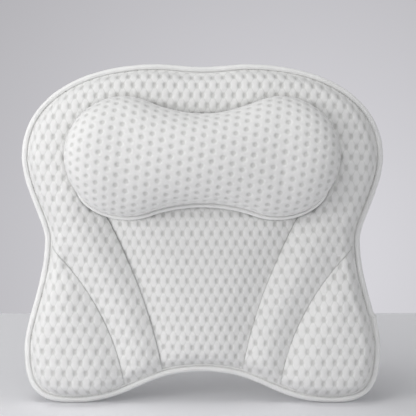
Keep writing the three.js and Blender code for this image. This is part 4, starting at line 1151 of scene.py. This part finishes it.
def arc(middle, radius, start, end, count):
    """Points of a rounded corner of a profile."""
    turn = np.radians(np.linspace(start, end, count))
    return [(middle[0] + radius * math.cos(a), middle[1] + radius * math.sin(a)) for a in turn]


def cup_profile():
    """A suction cup from the top of its head, down its neck and bell to the lip, and up inside."""
    shares = np.linspace(0, 1, 19)
    outer = [(9 + 24 * s, -6.6 - 16.8 * s**1.3) for s in shares]
    inner = [(r - 1.92, d - 2.4) for r, d in outer]
    profile = [(0, 9.9)] + arc((7.4, 8.3), 1.6, 90, 0, 6) + arc((8.2, 6.7), 0.8, 0, -90, 4)
    profile += arc((6.2, 4.9), 1.0, 90, 180, 4) + [(5.2, 2.0), (5.2, -1.4)]
    profile += arc((6.2, -1.6), 1.0, 180, 270, 4)
    profile += arc((8.2, -3.4), 0.8, 90, 0, 4) + [(9.0, -5.6)] + outer[1:-1]
    profile += [(32.8, -23.5), (33.0, -24.6), (32.7, -25.6), (31.9, -26.0), (31.0, -25.9)]
    profile += inner[-1:2:-1] + [(7.5, -10.2), (4.0, -11.2), (0, -11.6)]
    return np.array(profile) * MM


def eyelet_profile():
    """An eyelet cut across: its barrel through the back panel, and its flange behind it."""
    barrel = [(6.0, 5.3), (6.3, 5.6), (7.1, 5.6), (7.4, 5.3), (7.4, 0.0), (7.7, -0.3), (12.2, -0.3)]
    flange = arc((12.2, -1.1), 0.8, 90, -60, 5) + [(11.0, -2.2), (7.2, -2.3)]
    return np.array(barrel + flange + arc((6.8, -1.5), 0.8, -90, -180, 4)) * MM


def washer_profile():
    """A washer cut across."""
    front = [(8.0, 3.6), (8.3, 3.3), (12.7, 3.3), (13.0, 3.6)]
    return np.array([*front, (13.0, 4.8), (12.5, 5.3), (8.5, 5.3), (8.0, 4.8)]) * MM


def pull_tab(middle, toward, size):
    """Points and faces of a cup's finger tab: a rounded tongue with softened edges."""
    half, root, reach = 6.5 * MM, size.cup_radius - 3.2 * MM, size.cup_radius + 10 * MM
    corner = 5 * MM
    plan = [(-half, root), (half, root)]
    plan += arc((half - corner, reach - corner), corner, 0, 90, 8)
    plan = np.array(plan + arc((corner - half, reach - corner), corner, 90, 180, 8))
    centre = plan.mean(0)
    # Each layer's depth in millimetres, and its size as a share of the tab's
    layers = [(-25.7, 0.93), (-25.4, 1.0), (-24.0, 1.0), (-23.7, 0.93)]
    points = []
    for depth, scale in layers:
        spot = middle + (centre + (plan - centre) * scale) * (1, toward)
        points.append(np.concatenate([spot, np.full((len(spot), 1), depth * MM)], 1))
    points = np.concatenate(points)
    ends = range(len(plan)), range(len(points) - len(plan), len(points))
    return points, [*tube_of(len(layers), len(plan)), *ends]


def cup_places(size):
    """Each cup's name, place in the drawing, carrying body and the way its tab points."""
    places = {
        "top": ((size.cup_out_top, size.cup_level_top), -1), "middle": (MIDDLE_CUP, -1), "low": (LOW_CUP, 1)
    }
    for row in CUP_ROWS:
        (out, level), toward = places[row]
        for side, sign in SIDES.items():
            carrier = f"wing_{side}" if row == "low" else "pillow"
            yield f"{row}_{side}", np.array([out * sign, level]), carrier, toward


def drawn(context):
    """The scene's sizes and colours, and the drawing and stand that follow from them."""
    size, colours = context.scene.bath_pillow_sizes, context.scene.bath_pillow_colours
    return size, colours, Drawing(size), Stand(size)


class BATHPILLOW_OT_pads(bpy.types.Operator):
    """Sew and stuff the quilted pads of the front"""

    bl_idname = "bathpillow.pads"
    bl_label = "Quilted pads"

    def execute(self, context):
        size, colours, drawing, stand = drawn(context)
        mesh = air_mesh(
            "white polyester air mesh", colours, size.dimple_pitch, size.dimple_row, PAD_SHADE, False,
            PAD_CREASES, stand.out
        )
        sewn = drawing, stand, mesh
        arch = quilted_pad("pad_arch", arch_plan(drawing), size.arch_crown, ARCH_STRETCH, ARCH_FINER, *sewn)
        centre = quilted_pad(
            "pad_centre", centre_plan(drawing), size.centre_crown, CENTRE_STRETCH, PAD_FINER, *sewn
        )
        for piece, part in ((arch, "arch"), (centre, "centre")):
            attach(piece, "pillow")
            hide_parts(f"front_cover_{part}", f"fill_{part}")
        for side, sign in SIDES.items():
            plan = wing_plan(drawing) * (sign, 1)
            wing = quilted_pad(f"pad_wing_{side}", plan, size.wing_crown, WING_STRETCH, PAD_FINER, *sewn)
            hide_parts(f"front_cover_wing_{side}", f"fill_wing_{side}")
            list(stand.flex(side))
            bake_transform(wing)
        return {"FINISHED"}


class BATHPILLOW_OT_neck_roll(bpy.types.Operator):
    """Stuff the bone-shaped neck roll and lay its sewn lip"""

    bl_idname = "bathpillow.neck_roll"
    bl_label = "Neck roll"

    def execute(self, context):
        size, colours, drawing, stand = drawn(context)
        pitch, row = size.roll_dimple_pitch, size.roll_dimple_row
        mesh = air_mesh(
            "white polyester air mesh, roll", colours, pitch, row, ROLL_SHADE, True, ROLL_CREASES, stand.out
        )
        grid, cloth, edge = roll_grid(drawing)
        grid = inflated(grid, ROLL_SWELL)
        fine = refine(np.concatenate([grid, cloth, edge[..., None]], -1), ROLL_FINER)
        grid, cloth, edge = fine[..., :3], fine[..., 3:5], fine[..., 5]
        crease, deep = ROLL_CREASE_SHARE * size.crease_depth, ROLL_DIMPLE_SHARE * size.dimple_depth
        relief = dimpled(cloth[..., ::-1], pitch, row, ROLL_PIT, crease, deep) * smooth_step(*ROLL_FADE, edge)
        roll = sewn_pad("neck_roll", grid, cloth, relief, size.roll_bed + SEAM_GAP, stand, mesh)
        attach(roll, "pillow")
        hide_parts("neck_roll_cover", "neck_roll_fill", "neck_roll_base", "fill_neck_bed")
        roll_lip(drawing, stand, woven_tape("edge of the roll's cloth", colours))
        return {"FINISHED"}


class BATHPILLOW_OT_back(bpy.types.Operator):
    """Cut the back panels"""

    bl_idname = "bathpillow.back"
    bl_label = "Back panels"

    def execute(self, context):
        size, colours, drawing, stand = drawn(context)
        mesh = air_mesh(
            "white polyester air mesh, back", colours, size.dimple_pitch, size.dimple_row, PAD_SHADE, False,
            PAD_CREASES, stand.out
        )
        turn = np.linspace(0, 2 * np.pi, PANEL_HOLE_POINTS, endpoint=False)
        ring = PANEL_HOLE * np.stack([np.cos(turn), np.sin(turn)], -1)
        cups = {name: place for name, place, _, _ in cup_places(size)}
        holes = {name: place + ring for name, place in cups.items()}
        lines = pad_edge_lines(drawing)
        held, seam = lines["held"], lines["outer"]
        gap = inward(seam) * SEAM_GAP
        upper = cut_between(held, np.array([0.0, held[0, 1]]), seam[-1])
        notch = cut_between(held, seam[0], np.array([0.0, held[-1, 1]]))
        half = np.concatenate([upper[:-1], (seam - gap)[::-1], notch[1:]])
        outline = np.concatenate([half, half[-2:0:-1] * MIRROR])
        main_holes = [hole for name, hole in holes.items() if not name.startswith("low")]
        places = list(cups.values())
        main = back_cloth("back_panel_cloth", outline, main_holes, drawing, stand, mesh, places)
        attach(main, "pillow")
        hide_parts("back_panel")
        wing = cut_between(held, seam[-1], seam[0])
        for side, sign in SIDES.items():
            outline = np.concatenate([wing[:-1], (seam + gap)[:-1]]) * (sign, 1)
            name = f"back_panel_cloth_{side}"
            panel = back_cloth(name, outline, [holes[f"low_{side}"]], drawing, stand, mesh, places)
            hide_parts(f"back_panel_wing_{side}")
            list(stand.flex(side))
            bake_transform(panel)
        return {"FINISHED"}


class BATHPILLOW_OT_binding(bpy.types.Operator):
    """Bind the edge and stitch the tape down"""

    bl_idname = "bathpillow.binding"
    bl_label = "Edge binding"

    def execute(self, context):
        size, colours, drawing, stand = drawn(context)
        tape, thread = woven_tape("woven binding tape", colours), spun_thread(colours)
        rim = np.concatenate([drawing.rim, drawing.rim[-2::-1] * MIRROR])
        rim = spaced(rim, np.linspace(0, 1, round(run_length(rim)[-1] / TAPE_STEP) + 1))
        normals = inward(rim)
        normals[0], normals[-1] = (0, -1), (0, -1)
        along = run_length(rim)
        ends = drawing.waist, drawing.outer_foot, drawing.outer_foot * MIRROR, drawing.waist * MIRROR
        marks = [np.argmin(np.hypot(*(rim - spot).T)) for spot in ends]
        spans = {
            "wing_right": np.arange(marks[0], marks[1] + 1),
            "notch": np.arange(marks[1], marks[2] + 1),
            "wing_left": np.arange(marks[2], marks[3] + 1),
            "top": np.concatenate([np.arange(marks[3], len(rim) - 1), np.arange(0, marks[0] + 1)]),
        }
        for part, span in spans.items():
            line, normal = rim[span], normals[span]
            piece = bound_edge(f"binding_tape_{part}", line, normal, along[span[0]], drawing, stand, tape)
            sewn = line + normal * (size.tape_round + STITCH_INSET)
            rows = [stitch_row(sewn, depth, size.stitch_pitch) for depth in STITCH_DEPTHS]
            thread_piece = stitches(f"binding_stitches_{part}", rows, stand, thread)
            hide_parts(f"binding_{part}")
            for one in (piece, thread_piece):
                if part.startswith("wing"):
                    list(stand.flex(part.removeprefix("wing_")))
                    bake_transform(one)
                else:
                    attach(one, "pillow")
        return {"FINISHED"}


class BATHPILLOW_OT_cups(bpy.types.Operator):
    """Mould the suction cups and the eyelets and washers that hold them"""

    bl_idname = "bathpillow.cups"
    bl_label = "Suction cups"

    def execute(self, context):
        size, colours, _, stand = drawn(context)
        vinyl, plastic = clear_vinyl(colours), moulded_plastic(colours)
        for name, place, carrier, toward in cup_places(size):
            points, faces = turned_shape(cup_profile(), False, place)
            tab_points, tab_faces = pull_tab(place, toward, size)
            faces = [*faces, *([len(points) + k for k in face] for face in tab_faces)]
            points = np.concatenate([points, tab_points])
            cup = new_piece(f"cup_{name}", stand.place(points), faces, vinyl, None, 40)
            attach(cup, f"cup_{name}")
            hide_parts(f"suction_cup_{name}")
            for part, profile in (("eyelet", eyelet_profile()), ("washer", washer_profile())):
                points, faces = turned_shape(profile, True, place, 48)
                ring = new_piece(f"{part}_{name}", stand.place(points), faces, plastic, None, 50)
                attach(ring, carrier)
                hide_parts(f"cup_{part}_{name}")
        return {"FINISHED"}


def satin_table(colours):
    """Pale satin laminate, with painted shade that makes it a little darker towards the viewer."""
    material, tree, shader = new_material("pale satin table", {"Roughness": 0.6, "Specular IOR Level": 0.12})
    place = add_node(tree, "ShaderNodeTexCoord", out="Object")
    away = add_node(tree, "ShaderNodeSeparateXYZ", {0: place}, "Y")
    away = add_node(tree, "ShaderNodeMapRange", {0: away, 1: TABLE_NEAR, 2: TABLE_FAR})
    tone = {0: away, 6: darker(colours.table, TABLE_SHADE), 7: list(colours.table)}
    tone = add_node(tree, "ShaderNodeMix", tone, 2, data_type="RGBA")
    tree.links.new(tone, shader.inputs["Base Color"])
    return material


def studio(colours):
    """The backdrop that is seen, with a painted pool of light that fades to painted shade towards its
    corners, and the light tent round the table, dimmer behind and to the right.
    """
    world = bpy.data.worlds.new("studio")
    world.use_nodes = True
    tree = world.node_tree
    rays = add_node(tree, "ShaderNodeLightPath").node.outputs
    sight = rays["Is Camera Ray"]
    for kind in ("Is Glossy Ray", "Is Transmission Ray"):
        sight = add_node(tree, "ShaderNodeMath", {0: sight, 1: rays[kind]}, operation="MAXIMUM")
    vector = "ShaderNodeVectorMath"
    heading = add_node(tree, "ShaderNodeTexCoord", out="Generated")
    far = add_node(tree, vector, {0: heading, 1: BACKDROP_HEADING}, "Value", operation="DISTANCE")
    share = add_node(tree, "ShaderNodeMapRange", {0: far, 1: BACKDROP_REACH[0], 2: BACKDROP_REACH[1]})
    tones = {0: share, 6: list(colours.backdrop_dark), 7: list(colours.backdrop_light)}
    backdrop = add_node(tree, "ShaderNodeMix", tones, 2, data_type="RGBA")
    around = add_node(tree, vector, {0: heading, 1: TENT_HEADING}, "Value", operation="DOT_PRODUCT")
    level = {0: around, 1: TENT_SPAN[0], 2: TENT_SPAN[1], 3: TENT_LIGHT[0], 4: TENT_LIGHT[1]}
    level = add_node(tree, "ShaderNodeMapRange", level)
    tent = tree.nodes["Background"]
    tent.inputs["Color"].default_value = TENT_TINT
    tree.links.new(level, tent.inputs["Strength"])
    behind = add_node(tree, "ShaderNodeBackground", {"Color": backdrop, "Strength": 1.0})
    mix = add_node(tree, "ShaderNodeMixShader", {0: sight, 1: tent.outputs[0], 2: behind})
    tree.links.new(mix, tree.nodes["World Output"].inputs[0])
    return world


def softbox(name, place, wide, power, tint):
    """A square studio lamp that faces the pillow."""
    lamp = bpy.data.lights.new(name, "AREA")
    lamp.shape = "SQUARE"
    lamp.size = wide
    lamp.energy = power
    lamp.color = tint
    holder = bpy.data.objects.new(name, lamp)
    holder.location = place
    holder.rotation_euler = (Vector(LAMP_TARGET) - Vector(place)).to_track_quat("-Z", "Y").to_euler()
    holder.visible_camera = holder.visible_glossy = False
    bpy.context.scene.collection.objects.link(holder)


class BATHPILLOW_OT_stage(bpy.types.Operator):
    """Set the table, backdrop, lamps and camera"""

    bl_idname = "bathpillow.stage"
    bl_label = "Stage"

    def execute(self, context):
        scene = context.scene
        _, colours, _, stand = drawn(context)
        scene.view_settings.view_transform = "Standard"
        mesh = bpy.data.meshes.new("table")
        low, wide = float(CAD_BOX[0][2]), TABLE_REACH
        corners = [(-wide, -wide, low), (wide, -wide, low), (wide, TABLE_EDGE, low), (-wide, TABLE_EDGE, low)]
        mesh.from_pydata(corners, [], [(0, 1, 2, 3)])
        mesh.materials.append(satin_table(colours))
        table = bpy.data.objects.new("table", mesh)
        scene.collection.objects.link(table)
        scene.world = studio(colours)
        for name, settings in LAMPS.items():
            softbox(name, *settings)
        away = np.array([0, -math.cos(VIEW_PITCH), math.sin(VIEW_PITCH)])
        view = bpy.data.cameras.new("camera")
        view.sensor_width = SENSOR_WIDTH
        view.lens = SENSOR_WIDTH / 2 * VIEW_DISTANCE / VIEW_HALF_WIDTH
        camera = bpy.data.objects.new("camera", view)
        camera.location = stand.place(VIEW_MIDDLE) + away * VIEW_DISTANCE
        camera.rotation_euler = Vector(-away).to_track_quat("-Z", "Y").to_euler()
        scene.collection.objects.link(camera)
        scene.camera = camera
        return {"FINISHED"}


OPERATORS = (
    BATHPILLOW_OT_pads,
    BATHPILLOW_OT_neck_roll,
    BATHPILLOW_OT_back,
    BATHPILLOW_OT_binding,
    BATHPILLOW_OT_cups,
    BATHPILLOW_OT_stage,
)


class BATHPILLOW_PT_panel(bpy.types.Panel):
    """Lists the pillow's sizes, colours and steps"""

    bl_label = "Bath pillow"
    bl_idname = "BATHPILLOW_PT_panel"
    bl_space_type = "VIEW_3D"
    bl_region_type = "UI"
    bl_category = "Bath pillow"

    def draw(self, context):
        for operator in OPERATORS:
            self.layout.operator(operator.bl_idname)
        for group in (context.scene.bath_pillow_sizes, context.scene.bath_pillow_colours):
            for name in group.__annotations__:
                self.layout.prop(group, name)


CLASSES = (BathPillowSizes, BathPillowColours, *OPERATORS, BATHPILLOW_PT_panel)


def register():
    for cls in CLASSES:
        bpy.utils.register_class(cls)
    bpy.types.Scene.bath_pillow_sizes = PointerProperty(type=BathPillowSizes)
    bpy.types.Scene.bath_pillow_colours = PointerProperty(type=BathPillowColours)


def unregister():
    del bpy.types.Scene.bath_pillow_colours
    del bpy.types.Scene.bath_pillow_sizes
    for cls in reversed(CLASSES):
        bpy.utils.unregister_class(cls)


def main():
    register()
    bpy.ops.bathpillow.stage()
    bpy.ops.bathpillow.pads()
    bpy.ops.bathpillow.neck_roll()
    bpy.ops.bathpillow.back()
    bpy.ops.bathpillow.binding()
    bpy.ops.bathpillow.cups()
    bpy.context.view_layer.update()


if __name__ == "__main__":
    main()
